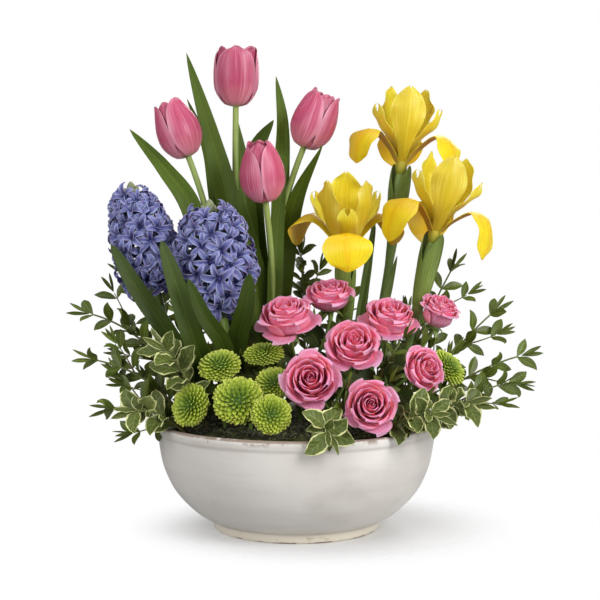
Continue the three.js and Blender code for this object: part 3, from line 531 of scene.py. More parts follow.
def leaf_material(name, colour, pale, dark, lines, ribbed, slant=0.0, margin=None, rough=0.5, gloss=0.3):
    """A leaf: pale rib and veins, darker between them, paler below. lines is how many veins run
    across its width, and slant how many leave the rib on each side. margin is a pale edge."""
    material, shader = new_material(name, Roughness=rough, Specular_IOR_Level=gloss)
    marks = marks_of(shader)
    side = times(marks.out, lines)
    phase = calc("MULTIPLY_ADD", marks.along, slant, side) if slant else side
    vein = between(calc("SINE", times(phase, 2 * math.pi)), 0.55, 1.0)
    rib = between(marks.out, 0.1, 0.0)
    toned = over(colour, dark, streaks(marks, 5, 3), 0.7)
    for amount, strength in ((vein, 0.22), (rib, ribbed), (marks.layer, 0.4)):
        toned = over(toned, pale, amount, strength)
    if margin:
        edge = calc("MULTIPLY_ADD", streaks(marks, 6, 8), 0.45, calc("ADD", marks.out, -0.22))
        toned = over(toned, margin[0], between(edge, margin[1], margin[1] + 0.1))
    mottle = add(shader, "TexNoise", {"Scale": 60.0}).outputs["Fac"]
    mottle = add(shader, "MapRange", {"Value": mottle, "To Min": 0.75, "To Max": 1.1}).outputs[0]
    brighten(shader, toned, times(mottle, calc("MULTIPLY_ADD", marks.shade, 0.4, 0.8)))
    bump(shader, calc("MAXIMUM", vein, rib), 0.3, 0.0005)
    return material


def stalk_material(name, root, top, rough=0.5):
    """A stem, anther or pod: one colour at its foot and another at its top, with faint lines."""
    material, shader = new_material(name, Roughness=rough)
    marks = marks_of(shader)
    lines = noise(place_in(shader), 700, (1, 1, 0.04))
    varied(shader, over(over(root, top, marks.along), root, lines, 0.3), marks.shade, 0.2, 0.3, 80)
    bump(shader, lines, 0.2, 0.0004)
    return material


def bend(start, knee, end, t):
    t = np.asarray(t, float)[..., None]
    start, knee, end = (np.asarray(at, float) for at in (start, knee, end))
    return (1 - t) ** 2 * start + 2 * t * (1 - t) * knee + t * t * end


def tube(path, radii, sides=12, shade=0.5, slot=0):
    """A round stem along a path, with its own radius at each point and closed ends."""
    path = np.asarray(path, float)
    tangent = unit(np.gradient(path, axis=0))
    side = np.cross(tangent[0], (0.31, 0.9, 0.29))
    turn = around(sides)[:, None]
    rings = []
    for place, ahead, radius in zip(path, tangent, np.broadcast_to(radii, len(path))):
        side = unit(side - ahead * np.dot(side, ahead))
        other = np.cross(ahead, side)
        rings.append(place + radius * (np.cos(turn) * side + np.sin(turn) * other))
    return turned(np.array(rings), slot, shade)


def axis_of(bloom):
    return unit(np.array(bloom["facing"], float))


def stem_path(flower, below=0.0, count=24):
    """From the foot in the foam to just under the bloom, along the bloom's axis."""
    axis = axis_of(flower)
    end = np.array(flower["base"]) - axis * (GAP + below)
    low = np.array([*flower["foot"], STEM_END], float)
    knee = end - axis * np.linalg.norm(end - low) * 0.45
    return bend(low, knee, end, np.linspace(0, 1, count))


def moved(parts, base, facing, turn=0.0):
    """Parts made around +Z, turned by some degrees, made to face a way and moved to a base."""
    upright = Vector((0, 0, 1))
    lean = upright.rotation_difference(Vector(facing))
    matrix = np.array((lean @ Quaternion(upright, math.radians(turn))).to_matrix())
    return [{**part, "points": part["points"] @ matrix.T + np.array(base, float)} for part in parts]


def cup_petal(rows, middle, across=10, along=16, lap=0.0, rib=0.0, crook=0.0, wave=0.0, phase=0.0, blunt=7):
    """A petal of a cup around +Z: rows give its radius, height and half angle in degrees. lap
    sends one edge out and the other in, rib sinks its middle, and crook lifts its edges."""
    v = 1 - (1 - np.linspace(0, 1, along + 1)) ** 1.5
    radius, height, half = (column[:, None] for column in through(rows, v).T)
    u = np.linspace(-1, 1, across + 1)[None, :]
    v = v[:, None]
    angle = middle + u * np.radians(half) * np.sqrt(np.clip(1 - v ** blunt, 0.0004, 1))
    radius = radius * (1 + lap * u * np.minimum(1, 2.4 * v))
    radius = radius - rib * np.exp(-(u / 0.16) ** 2) * np.sin(np.pi * v)
    radius = radius + crook * np.abs(u) ** 3 * v + wave * np.sin(9 * v + phase + 2 * u) * u ** 2 * v
    radius = radius + 1.2 * wave * v ** 6 * np.sin(5 * u + 2 * phase)
    ragged = 1.6 * wave * v ** 9 * np.sin(7 * u + phase)
    return np.stack([radius * np.cos(angle), radius * np.sin(angle), height + ragged], -1)


def tulip_bloom(tulip, random):
    parts = []
    for k in range(6):
        inner = k % 2
        size = random.uniform(0.97, 1.03)
        rows = []
        for radius, height, half in TULIP_PETAL:
            drawn = 1 - tulip["close"] * max(0, (height - 21) / 35) ** 1.6
            rows.append([radius * drawn - (2.4 * inner if height > 4 else 0), (height + inner) * size, half])
        crook, phase = random.uniform(-0.6, 0.6), random.uniform(0, 6)
        middle = (k + 0.5) * math.tau / 6
        grid = cup_petal(rows, middle, 14, 20, rib=0.7, crook=crook, wave=0.7, phase=phase, blunt=8)
        # Painted shade: the inner petals carry layer 0.5 and the inside of every petal carries 0.85, and the
        # petal's deep colour darkens both.
        parts.append(skin(grid, 0.8, random.uniform(0, 1), 0.5 * inner, 0.85))
    for k in range(6):
        lean = outward(k * math.tau / 6 + 0.4)
        path = bend(lean * 2 + UP * 2, lean * 5 + UP * 8, lean * 6 + UP * 24, np.linspace(0, 1, len(STAMEN)))
        parts.append(tube(path, STAMEN, 6, slot=1))
    parts.append(tube([UP * height for height in PISTIL["heights"]], PISTIL["radii"], 6, slot=2))
    return moved(parts, tulip["base"], tulip["facing"], tulip["turn"])


def long_leaf(path, leaf, facing, width_at, shade, above=110, thick=1.0):
    """A long leaf that clasps the stem just above the foam and runs through its points."""
    widest, points, twist = leaf
    root = path[np.argmin(np.abs(path[:, 2] - above))]
    t = np.linspace(0, 1, 34)
    rib = through([root, *points], t)
    turns = (twist * t ** 2, unit(np.gradient(rib, axis=0)))
    facings = [Quaternion(Vector(ahead), math.radians(by)) @ Vector(facing) for by, ahead in zip(*turns)]
    fold = (0.55 - 0.35 * t)[:, None, None]
    grid = ribbon(rib, widest * width_at(t), np.array(facings), 8, fold, 0.05, 2.2, shade * 9)
    return skin(grid, thick, shade, 0.0, 1.0, slot=1)


def tulip_width(t):
    broad = 0.35 + 0.65 * np.minimum(1, t / 0.45)
    return broad * np.clip(1 - t ** 3.2, 0, 1) ** 0.8 + 0.02


random = np.random.default_rng(21)
tulip_finishes = [
    petal_material(
        "tulip_petal", [(0, (214, 206, 150)), (0.1, (226, 140, 152)), (0.3, (184, 74, 106)),
                        (0.75, (192, 82, 114)), (1, (208, 114, 140))],
        # The deep colour here is painted shade. It is laid on by layer and darkens the inner petals and the
        # inside of the cup.
        ((236, 170, 188), 0.55), ((142, 28, 70), 0.65), 30, 0.42,
    ),
    stalk_material("tulip_anther", (150, 140, 70), (64, 42, 58), 0.8),
    stalk_material("tulip_pistil", (150, 170, 80), (206, 204, 130), 0.6),
]
stem = stalk_material("tulip_stem", (104, 132, 58), (150, 168, 88))
leaf = leaf_material(
    "tulip_leaf", (84, 108, 26), (134, 150, 54), (46, 66, 12), 9, 0.15, rough=0.48, gloss=0.2,
)
for k, tulip in enumerate(TULIPS, 1):
    build(f"tulip_{k}_petals", tulip_bloom(tulip, random), tulip_finishes, f"tulip_{k}_bloom")
    path = stem_path(tulip)
    top = np.array(tulip["base"]) + axis_of(tulip) * TULIP_STEM["into_bloom"]
    taper = np.linspace(TULIP_STEM["foot"], TULIP_STEM["neck"], len(path))
    radii = np.append(taper, TULIP_STEM["foot"])
    parts = [tube(np.vstack([path, top]), radii, TULIP_STEM["sides"])]
    for entry in tulip["leaves"]:
        parts.append(long_leaf(path, entry, TULIP_LEAF_FACING, tulip_width, random.uniform(0.2, 0.9)))
    build(f"tulip_{k}_leafy_stem", parts, [stem, leaf], f"tulip_{k}_stem")

# ---------------------------------------------------------------- hyacinths
# Two cut spikes of blue-violet hyacinth. Each floret is a short tube that opens into six narrow
# lobes rolled back on themselves, with a dark line down each. The last buds on top are green.
HYACINTH = {"florets": 76, "stalk": 5.2, "into_spike": 4, "core": [6.5, 7.5, 6, 3], "buds": 5,
            "bud_seat": 0.86, "leaf_facing": (0, -1, 0.2)}
FLORET = [[1.7, -6.5, 1.6], [2.4, -2.0, 2.0], [3.8, 2.4, 2.5], [7.2, 5.4, 3.0], [11.4, 4.8, 2.9],
          [15.0, 1.4, 1.8]]
HYACINTHS = [
    {"base": (-134, 0, 224), "top": (-158, 0, 326), "foot": (-80, 2), "length": 106, "radius": 33,
     "turn": 20,
     "leaves": [(9, [(-102, -22, 152), (-123, -36, 194), (-148, -42, 232), (-171, -42, 272)], 0),
                (10, [(-86, -30, 150), (-95, -54, 187), (-108, -62, 232), (-123, -60, 276)], 0)]},
    {"base": (-71, -22, 202), "top": (-82, -22, 308), "foot": (-62, -14), "length": 110, "radius": 39,
     "turn": 80,
     "leaves": [(8, [(-64, -32, 150), (-68, -46, 180), (-84, -66, 208), (-98, -76, 242)], 0),
                (9.5, [(-58, -28, 150), (-55, -36, 180), (-46, -62, 215), (-42, -74, 247)], 0)]},
]
GOLDEN_ANGLE = math.tau * 0.381966


def flat_petal(rows, angle, across=4, along=8, fold=0.0, ruffle=0.0, waves=3.0, phase=0.0, notch=0.0,
               blunt=8):
    """A petal whose middle line stays in the upright plane at angle: rows give its radius,
    height and half width. Its upper side faces the axis where it stands and up where it lies."""
    u = np.linspace(-1, 1, across + 1)[None, :]
    v = np.linspace(0, 1, along + 1)[:, None]
    v = 1 - (1 - v) ** 1.3 - notch * (1 - np.abs(u)) ** 2 * v ** 4
    here, ahead, behind = (through(rows, np.clip(v + step, 0, 1)) for step in (0, 0.02, -0.02))
    run = unit((ahead - behind)[..., :2])[..., None]
    out = outward(angle)
    side = np.array([math.sin(angle), -math.cos(angle), 0])
    normal = UP * run[..., 0, :] - out * run[..., 1, :]
    width = (here[..., 2] * np.sqrt(np.clip(1 - v ** blunt, 0.0004, 1)))[..., None]
    edge = ruffle * np.sin(2 * np.pi * waves * v + phase + 1.5 * np.sign(u)) * np.abs(u) ** 2 * v
    rise = (fold * np.abs(u) ** 1.4 + edge)[..., None]
    middle = out * here[..., 0:1] + UP * here[..., 1:2]
    return middle + side * u[..., None] * width + normal * rise * width


def floret(size, open_by, random):
    shade = random.uniform(0, 1)
    parts = [tube([UP * -13, UP * -6, UP * -1.5], [1.6, 2.3, 2.9], 6, shade, slot=1)]
    for k in range(6):
        inner = k % 2
        bent = open_by * random.uniform(0.6, 1.35)
        rows = [
            [r * size * (0.72 + 0.28 * bent), (z * (0.4 + 0.6 * bent) + 0.4 * r * (1 - bent) - inner) * size,
             w * size * random.uniform(0.8, 1.2)] for r, z, w in FLORET
        ]
        angle = k * math.tau / 6 + random.uniform(-0.3, 0.3)
        grid = flat_petal(rows, angle, fold=random.uniform(0.3, 0.8), blunt=5)
        parts.append(skin(grid, 0.7, np.clip(shade + random.uniform(-0.2, 0.2), 0, 1), 0, 1))
    return parts


def hyacinth_spike(hyacinth, random):
    length, count = hyacinth["length"], HYACINTH["florets"]
    parts = [tube([UP * length * s for s in (0, 0.3, 0.6, 0.84)], HYACINTH["core"], 12, slot=1)]
    for k in range(count):
        v = (k + 0.5) / count
        out = outward(k * GOLDEN_ANGLE + math.radians(hyacinth["turn"]))
        full = math.sin(math.pi * (0.2 + 0.64 * v)) ** 0.6
        reach = hyacinth["radius"] * full - 7 + random.uniform(-4.0, 2.0)
        base = out * reach + UP * length * (0.07 + 0.83 * v)
        facing = out + UP * (-0.4 + 1.3 * v * v) + random.uniform(-0.42, 0.42, 3)
        size = (1.08 - 0.2 * v) * random.uniform(0.85, 1.12)
        parts += moved(floret(size, 1.12 - 0.5 * v ** 3, random), base, facing, random.uniform(0, 60))
    return parts


def bud_pod(random, size=1.0):
    v = np.linspace(0.02, 0.99, 14)[:, None]
    girth = 4.6 * size * np.sin(np.pi * v ** 0.85) ** 0.7 * (1 + 0.08 * np.cos(6 * around(18)) * v)
    return turned(lathe(girth, 15 * size * v, 18), shade=random.uniform(0, 1))


def strap_width(t):
    return (0.75 + 0.25 * np.sin(np.pi * t)) * np.clip(1 - t ** 7, 0, 1) ** 0.5 + 0.02


random = np.random.default_rng(31)
tepal = petal_material(
    "hyacinth_floret",
    [(0, (44, 44, 94)), (0.4, (80, 82, 140)), (0.8, (124, 128, 182)), (1, (118, 122, 178))],
    ((196, 202, 234), 0.6), ((62, 62, 132), 0.4), 6, 0.5, (0.2, 0.003), ((62, 64, 134), 0.45, 0.36),
)
throat = stalk_material("hyacinth_throat", (96, 120, 84), (104, 100, 190))
pod = stalk_material("hyacinth_bud", (146, 160, 92), (128, 134, 108), 0.45)
stem = stalk_material("hyacinth_stem", (92, 124, 50), (122, 146, 66), 0.45)
leaf = leaf_material("hyacinth_leaf", (64, 84, 22), (104, 122, 44), (34, 48, 10), 7, 0.2, rough=0.42)
for k, hyacinth in enumerate(HYACINTHS, 1):
    base = np.array(hyacinth["base"], float)
    facing = unit(np.array(hyacinth["top"], float) - base)
    name = f"hyacinth_{k}"
    spike = moved(hyacinth_spike(hyacinth, random), base, facing)
    build(f"{name}_florets", spike, [tepal, throat], f"{name}_spike")
    pods = moved([bud_pod(random)], (0, 0, 2), (0.1, 0, 1))
    for turn in range(HYACINTH["buds"]):
        lean = outward(turn * math.tau / HYACINTH["buds"] + 0.4) * 0.6 + UP
        pods += moved([bud_pod(random, random.uniform(0.72, 0.95))], (0, 0, 0), lean)
    seat = base + facing * (HYACINTH["bud_seat"] * hyacinth["length"] + GAP)
    build(f"{name}_top_buds", moved(pods, seat, facing), [pod], f"{name}_buds")
    path = stem_path({**hyacinth, "facing": facing})
    top = base + facing * HYACINTH["into_spike"]
    parts = [tube(np.vstack([path, top]), HYACINTH["stalk"], 16)]
    for entry in hyacinth["leaves"]:
        shade = random.uniform(0.2, 0.9)
        parts.append(long_leaf(path, entry, HYACINTH["leaf_facing"], strap_width, shade, thick=1.6))
    build(f"{name}_leafy_stem", parts, [stem, leaf], f"{name}_stem")

# ---------------------------------------------------------------- irises
# Three yellow Dutch irises, fully open: three falls that turn down from narrow hafts, each with
# a deeper stripe, three ruffled standards, and three styles that end in a split crest.
IRIS_PETALS = {
    "fall": [[5, 4, 4], [15, 17, 5.5], [31, 30, 9], [44, 30, 20], [53, 19, 25.5], [54.5, 3, 22],
             [52, -7, 13]],
    "standard": [[5, 5, 4], [13, 22, 7], [19.5, 42, 15], [22, 58, 17.5], [20.5, 71, 13.5], [18.5, 80, 7.5]],
    "style": [[4, 12, 4], [14, 25, 7], [25, 36, 9], [33, 46, 10.5], [36, 58, 9.5]],
}
IRIS_TUBE = [(4, -9.3), (5.4, -3), (6, 1), (5.5, 9), (3.5, 15)]
# The stem's radius by the way before its end, and the sheath's tips, which stand out from it.
SHEATH = [(90, 4), (62, 5.5), (34, 8.3), (20, 8.3), (0, 5)]
SHEATH_VALVE = [[6.0, -26, 96], [8.4, -8, 100], [9.4, 8, 98], [10.2, 22, 84], [9.8, 36, 54], [8.6, 46, 20]]
SHEATH_FROM = 34
SHEATH_TOP = 4.2
STEM_BELOW = 9
SHEATH_BELOW = 7
IRIS_LEAF_FACING = (-0.4, -1, 0)
IRISES = [
    # open draws the standards out, and lift raises the tips of the falls
    {"base": (103, 55, 345), "facing": (0.1, 0, 1), "foot": (54, 44), "turn": -60, "open": 0.08, "lift": 5,
     "leaves": [(5, [(66, 60, 200), (72, 70, 250), (79, 76, 300)], 10)]},
    {"base": (47, 8, 260), "facing": (0, -0.3, 1), "foot": (50, 22), "turn": 240, "open": 0.12, "lift": 8,
     "leaves": [(4, [(60, 30, 190), (69, 34, 240), (77, 36, 286)], 10)]},
    {"base": (131, 2, 279), "facing": (0.2, -0.04, 0.98), "foot": (76, 8), "turn": 64, "open": 0.1,
     "lift": -6,
     "leaves": [(4, [(84, 22, 190), (91, 30, 230), (98, 35, 258)], 10)]},
]


def square_to(path):
    """A direction square to a path that lies in one plane."""
    start, middle, end = path[0], path[len(path) // 2], path[-1]
    square = np.cross(middle - start, end - start)
    if np.linalg.norm(square) > 0.5:
        return unit(square)
    return unit(np.cross(end - start, (1, 0, 0)))


def face_out(ahead, side, sides, column):
    """The way that a face of a many-sided stem looks."""
    other = unit(np.cross(ahead, side))
    angle = (column + 0.5) * math.tau / sides
    return np.cross(other, ahead) * math.cos(angle) + other * math.sin(angle)


def iris_bloom(iris, random):
    radius, height = np.array(IRIS_TUBE).T[:, :, None]
    parts = [turned(lathe(radius, height, 18), slot=2)]
    tip = len(IRIS_PETALS["fall"]) - 1
    for k in range(6):
        angle = (k + 0.5) * math.tau / 6
        shade = random.uniform(0, 1)
        phase = random.uniform(0, 6)
        if k % 2:
            wide, low = 1 + iris["open"], 1 - iris["open"] / 3
            rows = [[r * wide, z * low, w] for r, z, w in IRIS_PETALS["standard"]]
            grid = flat_petal(rows, angle, 16, 28, fold=0.28, ruffle=0.2, waves=2.8, phase=phase,
                              notch=0.06, blunt=6)
            parts.append(skin(grid, 0.8, shade, 0, 1, slot=1))
            continue
        lifts = [iris["lift"] * (row / tip) ** 1.5 for row in range(tip + 1)]
        rows = [[r, z + lift, w] for (r, z, w), lift in zip(IRIS_PETALS["fall"], lifts)]
        grid = flat_petal(rows, angle, 16, 28, fold=-0.18, ruffle=0.12, waves=2.6, phase=phase, blunt=4.5)
        parts.append(skin(grid, 0.9, shade, 0, 1, slot=0))
        grid = flat_petal(IRIS_PETALS["style"], angle, 12, 20, fold=0.1, ruffle=0.18, waves=2.2,
                          phase=phase, notch=0.2, blunt=7)
        parts.append(skin(grid, 0.9, shade, 0, 0.4, slot=1))
    return moved(parts, iris["base"], iris["facing"], iris["turn"])


def iris_stalk(path, base, random):
    """The stem swells under the bloom into the green sheath, with two pointed tips."""
    steps = np.linalg.norm(np.diff(path, axis=0), axis=1)
    before = np.concatenate([np.cumsum(steps[::-1])[::-1], [0]])
    places, radii = np.array(SHEATH[::-1], float).T
    radii = np.append(np.interp(before, places, radii), SHEATH_TOP)
    parts = [tube(np.vstack([path, base]), radii, 16)]
    at = np.argmin(np.abs(before - SHEATH_FROM))
    ahead = unit(path[at + 1] - path[at - 1])
    upright = Vector(ahead).rotation_difference(Vector((0, 0, 1)))
    for column in (0, 3):
        out = upright @ Vector(face_out(ahead, square_to(path), 6, column))
        grid = cup_petal(SHEATH_VALVE, math.atan2(out.y, out.x), 14, 16, lap=0.05)
        parts += moved([skin(grid, 0.8, random.uniform(0.4, 0.9), 0, 1, slot=2)], path[at], ahead)
    return parts


random = np.random.default_rng(41)
iris_finishes = [
    petal_material(
        "iris_fall",
        [(0, (196, 184, 52)), (0.2, (218, 194, 22)), (0.42, (230, 186, 2)), (0.62, (234, 206, 4)),
         (1, (236, 210, 12))],
        ((242, 222, 44), 0.5), ((204, 160, 18), 0.5), 34, 0.45, middle=((230, 172, 2), 0.45, 0.3),
    ),
    petal_material(
        "iris_standard",
        [(0, (202, 180, 36)), (0.3, (226, 204, 30)), (0.7, (232, 216, 52)), (1, (238, 224, 78))],
        ((248, 238, 120), 0.55), ((196, 170, 26), 0.55), 24, 0.45,
    ),
    stalk_material("iris_tube", (150, 160, 60), (232, 204, 44)),
]
stem_finishes = [
    stalk_material("iris_stem", (96, 128, 56), (126, 152, 78)),
    leaf_material("iris_leaf", (96, 120, 52), (140, 158, 88), (60, 82, 30), 6, 0.2),
    leaf_material("iris_sheath", (112, 134, 56), (160, 174, 96), (76, 98, 36), 6, 0.25),
]
for k, iris in enumerate(IRISES, 1):
    build(f"iris_{k}_petals", iris_bloom(iris, random), iris_finishes, f"iris_{k}_bloom")
    path = stem_path(iris, STEM_BELOW, 60)
    parts = iris_stalk(path, np.array(iris["base"]) - axis_of(iris) * SHEATH_BELOW, random)
    for entry in iris["leaves"]:
        parts.append(long_leaf(path, entry, IRIS_LEAF_FACING, tulip_width, random.uniform(0.3, 0.9)))
    build(f"iris_{k}_sheathed_stem", parts, stem_finishes, f"iris_{k}_stem")

# ---------------------------------------------------------------- sprays of roses
# Spray roses in pink: whorls of thin petals that roll back at the lip, on branching stems with
# five sepals under every bloom and toothed leaves, which grow where the solids have them.
ROSE_WHORLS = [
    # count, belly radius, lip radius, lip height, half angle, roll of the lip
    (4, 20.0, 28.6, 19.0, 58, 4.5), (4, 22.4, 24.6, 27.0, 62, 4.2), (4, 20.0, 21.2, 30.8, 62, 3.6),
    (3, 17.0, 17.6, 33.4, 76, 3.2), (3, 14.0, 14.0, 34.8, 78, 2.8), (3, 10.8, 10.4, 35.6, 80, 2.3),
    (3, 7.6, 6.9, 35.6, 82, 1.7), (2, 4.6, 3.8, 35.0, 112, 1.0), (2, 2.6, 1.7, 34.0, 120, 0.4),
]
SEPAL = ((3, -1.5), (11, -0.5), (15, -8))
SPRAY_LEAF = {"length": 34, "out": 0.85, "up": 0.4, "across": 8}
# depth is how far a bloom's base is behind its centre, for a measure of 1. A collar's rows are
# the way before the stem's end, the radius there and what a measure of 1 adds to it.
ROSE = {
    "measure": "size", "depth": 18, "trunk": 2.0, "columns": (0, 2),
    "collar": [(8, 1.8, 0), (3, 0, 4.6), (0, 0, 6)],
    "leaf": {**SPRAY_LEAF, "width": 11, "teeth": 0.05, "count": 13, "steps": 54},
}
ROSE_SPRAYS = [
    # guard is the radius and height of the outer petals' lips, where they open less
    {"foot": (2, -10), "fork": (4, -14, 140), "blooms": [
        {"centre": (-9, -46, 205), "facing": (-0.15, -0.42, 0.9), "size": 0.93, "turn": 10,
         "guard": (30, 13)},
        {"centre": (31, -14, 222), "facing": (-0.05, -0.35, 0.93), "size": 0.8, "turn": 40,
         "guard": (25.5, 25)}]},
    {"foot": (28, -36), "fork": (32, -44, 116), "blooms": [
        {"centre": (52, -64, 180), "facing": (0, -0.75, 0.66), "size": 0.88, "turn": 70},
        {"centre": (13, -88, 152), "facing": (-0.05, -0.93, 0.35), "size": 0.85, "turn": 20},
        {"centre": (66, -104, 131), "facing": (0.05, -0.93, 0.3), "size": 0.78, "turn": 50}]},
    {"foot": (72, -16), "fork": (84, -22, 128), "blooms": [
        {"centre": (87, -32, 203), "facing": (0.1, -0.45, 0.88), "size": 0.86, "turn": 30,
         "guard": (29.5, 14)},
        {"centre": (134, -18, 207), "facing": (0.3, -0.35, 0.88), "size": 0.84, "open": 0.75, "turn": 0,
         "guard": (27, 29)},
        {"centre": (114, -78, 160), "facing": (0.5, -0.75, 0.42), "size": 0.8, "open": 0.88, "turn": 60,
         "guard": (27, 22)}]},
]
FORK_STEPS = 40
LEAF_AT = 0.42
SIZES = (1, 0.75, 0.55)
SAME_PLACE = 0.4
FRONT = np.array([0, -1, 0.5])


def corners_of(node):
    """The corners of a solid, in millimetres."""
    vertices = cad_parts[node].data.vertices
    found = np.zeros(len(vertices) * 3, np.float32)
    vertices.foreach_get("co", found)
    return found.reshape(-1, 3).astype(float) / MM


def ahead_at(ribs, v, step=0.01):
    return unit(bend(*ribs, v + step) - bend(*ribs, v - step))


def leaf_rib(place, out, ahead, kind, size, count=12):
    ways = ((0.03, 0), (0.55, kind["up"] * 0.9), (kind["out"], kind["up"]))
    ribs = [place + (out * reach + ahead * rise) * kind["length"] * size for reach, rise in ways]
    return bend(*ribs, np.linspace(0, 1, count))


def size_of(corners, place, out, ahead, kind, full):
    """How large the solid's leaf is: the size that brings its tip to a corner, or none."""
    for size in SIZES:
        tip = leaf_rib(place, out, ahead, kind, size * full, 2)[-1]
        if np.linalg.norm(corners - tip, axis=1).min() < SAME_PLACE:
            return size * full
    return 0


def small_leaf(rib, facing, width, random, kind, across=None):
    """A small leaf on its rib, which curls and turns a little in its own way."""
    w = np.linspace(0, 1, len(rib))
    half = width * np.sin(np.pi * w ** kind.get("fullness", 0.85)) ** kind.get("point", 0.8) + 0.15
    half = half * (1 + kind.get("teeth", 0) * np.sin(w * kind.get("count", 0) * 2 * np.pi))
    curl = random.uniform(-0.3, 0.3, 3) * width
    rib = rib + curl * (w ** 2)[:, None] * 2
    facing = unit(facing) + random.uniform(-1, 1, 3) * kind.get("loose", 0.3)
    shade = random.uniform(0, 1)
    ruffle, waves = kind.get("ruffle", 0.05), kind.get("waves", 2)
    grid = ribbon(rib, half, facing, across or kind.get("across", 6), 0.3, ruffle, waves, shade * 20)
    return skin(grid, 0.5, shade, 0, 1, slot=1)


def rose_petal(whorl, middle, shade, layer, random):
    belly, radius, height, half, roll = whorl
    rows = [[3.0, 1.2, 40], [belly * 0.66, height * 0.16, half * 0.85], [belly * 0.95, height * 0.42, half],
            [belly, height * 0.68, half], [radius * 0.98, height * 0.9, half], [radius, height, half]]
    across, along = 14, 18
    phase, side = random.uniform(0, 6), random.uniform(-0.3, 0.3)
    grid = cup_petal(rows, middle, across, along, lap=0.085, wave=0.36, phase=phase, blunt=2.6)
    u = np.linspace(-1, 1, across + 1)[None, :]
    v = 1 - (1 - np.linspace(0, 1, along + 1)[:, None]) ** 1.5
    lip = np.clip((v - 0.6) / 0.4, 0, 1) ** 2
    turned_back = roll * lip * (0.7 + 0.35 * np.abs(u - side) ** 1.5)
    dip = height * 0.07 * np.abs(u) ** 2.5 * lip
    away = unit(grid * (1, 1, 0)) * turned_back[..., None] * 0.75
    return skin(grid + away - UP * (turned_back * 0.55 + dip)[..., None], 0.35, shade, layer, layer * 0.85)


def rose_bloom(bloom, random):
    open_by = bloom.get("open", 1)
    parts = []
    phase = 0.0
    last = len(ROSE_WHORLS) - 1
    for ring, (count, belly, radius, height, half, roll) in enumerate(ROSE_WHORLS):
        phase += 0.9 + random.uniform(-0.15, 0.15)
        drawn = open_by + (1 - open_by) * 0.5 * ring / last
        if ring == 0:
            radius, height = bloom.get("guard", (radius, height))
        for k in range(count):
            middle = phase + k * math.tau / count + random.uniform(-0.08, 0.08)
            whorl = (
                belly * drawn, radius * (drawn * random.uniform(0.97, 1.04)),
                height + random.uniform(-1, 1) * (2.5 if ring == 0 else 0.8),
                half * random.uniform(0.95, 1.05), roll * random.uniform(0.5, 1.3) * open_by,
            )
            parts.append(rose_petal(whorl, middle, random.uniform(0, 1), ring / last, random))
            parts[-1]["points"] *= bloom["size"]
    return parts


def branching(spray, kind, node, random):
    """The trunk of a spray, its fork and a branch to each bloom, with the leaves of the solid."""
    corners = corners_of(node)
    fork = np.array(spray["fork"], float)
    trunk = np.linspace(np.array([*spray["foot"], STEM_END], float), fork, 12)
    parts = [tube(trunk, kind["trunk"], 12)]
    ends = []
    t = np.linspace(0, 1, FORK_STEPS)
    for bloom in spray["blooms"]:
        axis = axis_of(bloom)
        measure = bloom[kind["measure"]]
        end = np.array(bloom["centre"], float) - axis * (kind["depth"] * measure) - axis * GAP
        ribs = (fork, end - axis * np.linalg.norm(end - fork) * 0.4, end)
        path = bend(*ribs, t)
        length = np.linalg.norm(np.diff(path, axis=0), axis=1).sum()
        radii = np.full(FORK_STEPS, kind["trunk"] * 0.8)
        places, plain, grown = np.array(kind["collar"], float).T
        widths = plain + grown * measure
        before = (1 - t) * length
        near = before < places[0]
        radii[near] = np.interp(before[near], places[::-1], widths[::-1])
        swell = 1 + 0.35 * np.exp(-((t - LEAF_AT) * length / 2.2) ** 2)
        parts.append(tube(path, radii * swell, 12))
        here, ahead = bend(*ribs, LEAF_AT), ahead_at(ribs, LEAF_AT)
        for column in kind["columns"]:
            out = face_out(ahead, square_to(path), 5, column)
            size = size_of(corners, here, out, ahead, kind["leaf"], 1)
            if size:
                rib = leaf_rib(here, out, ahead, kind["leaf"], size, kind["leaf"]["steps"])
                width = kind["leaf"]["width"] * size
                parts.append(small_leaf(rib, ahead * 0.4 + FRONT, width, random, kind["leaf"]))
        ends.append((bloom, path, axis))
    rise = np.linspace(0.04, 0.96, 8)[:, None]
    girth = kind["trunk"] * 1.6 * np.sin(np.pi * rise) ** 0.7
    parts.append(turned(lathe(girth, kind["trunk"] * 4 * (rise - 0.5), 12) + fork))
    return parts, ends


def build_sprays(sort, sprays, kind, bloom_of, petal_finishes, stem_finishes, random, calyx=None):
    """Every bloom of each spray, and then the spray's own stems and leaves."""
    number = 0
    for k, spray in enumerate(sprays, 1):
        node = f"{sort}_spray_{k}_stems"
        parts, ends = branching(spray, kind, node, random)
        for bloom, path, axis in ends:
            number += 1
            petals = moved(bloom_of(bloom, random), path[-1] + axis * GAP, bloom["facing"], bloom["turn"])
            build(f"{sort}_{number}_petals", petals, petal_finishes, f"{sort}_{number}")
            if calyx:
                parts += calyx(bloom, path, axis, random)
        build(f"{node}_and_leaves", parts, stem_finishes, node)


def rose_calyx(bloom, path, axis, random):
    size = bloom["size"]
    parts = []
    w = np.linspace(0, 1, 12)
    for column in range(5):
        out = face_out(axis, square_to(path), 5, column)
        ribs = [path[-1] + (out * reach + axis * rise) * size for reach, rise in SEPAL]
        half = 3.4 * size * (1 - w ** 1.6) + 0.2
        parts.append(skin(ribbon(bend(*ribs, w), half, axis, 4, 0.25), 0.6, random.uniform(0, 1), 0.6, 0))
    return parts


random = np.random.default_rng(51)
petal = petal_material(
    "rose_petal",
    [(0, (222, 200, 136)), (0.12, (244, 158, 168)), (0.5, (253, 128, 164)), (0.85, (253, 148, 180)),
     (1, (254, 176, 202))],
    ((254, 196, 214), 0.3), ((250, 60, 120), 0.5), 16, 0.5, (0.45, 0.012),
)
stem = stalk_material("rose_stem", (92, 120, 50), (120, 144, 66))
leaf = leaf_material(
    "rose_leaf", (62, 80, 24), (116, 132, 60), (32, 46, 12), -2.4, 0.45, slant=9, rough=0.48,
)
build_sprays("rose", ROSE_SPRAYS, ROSE, rose_bloom, [petal], [stem, leaf], random, rose_calyx)

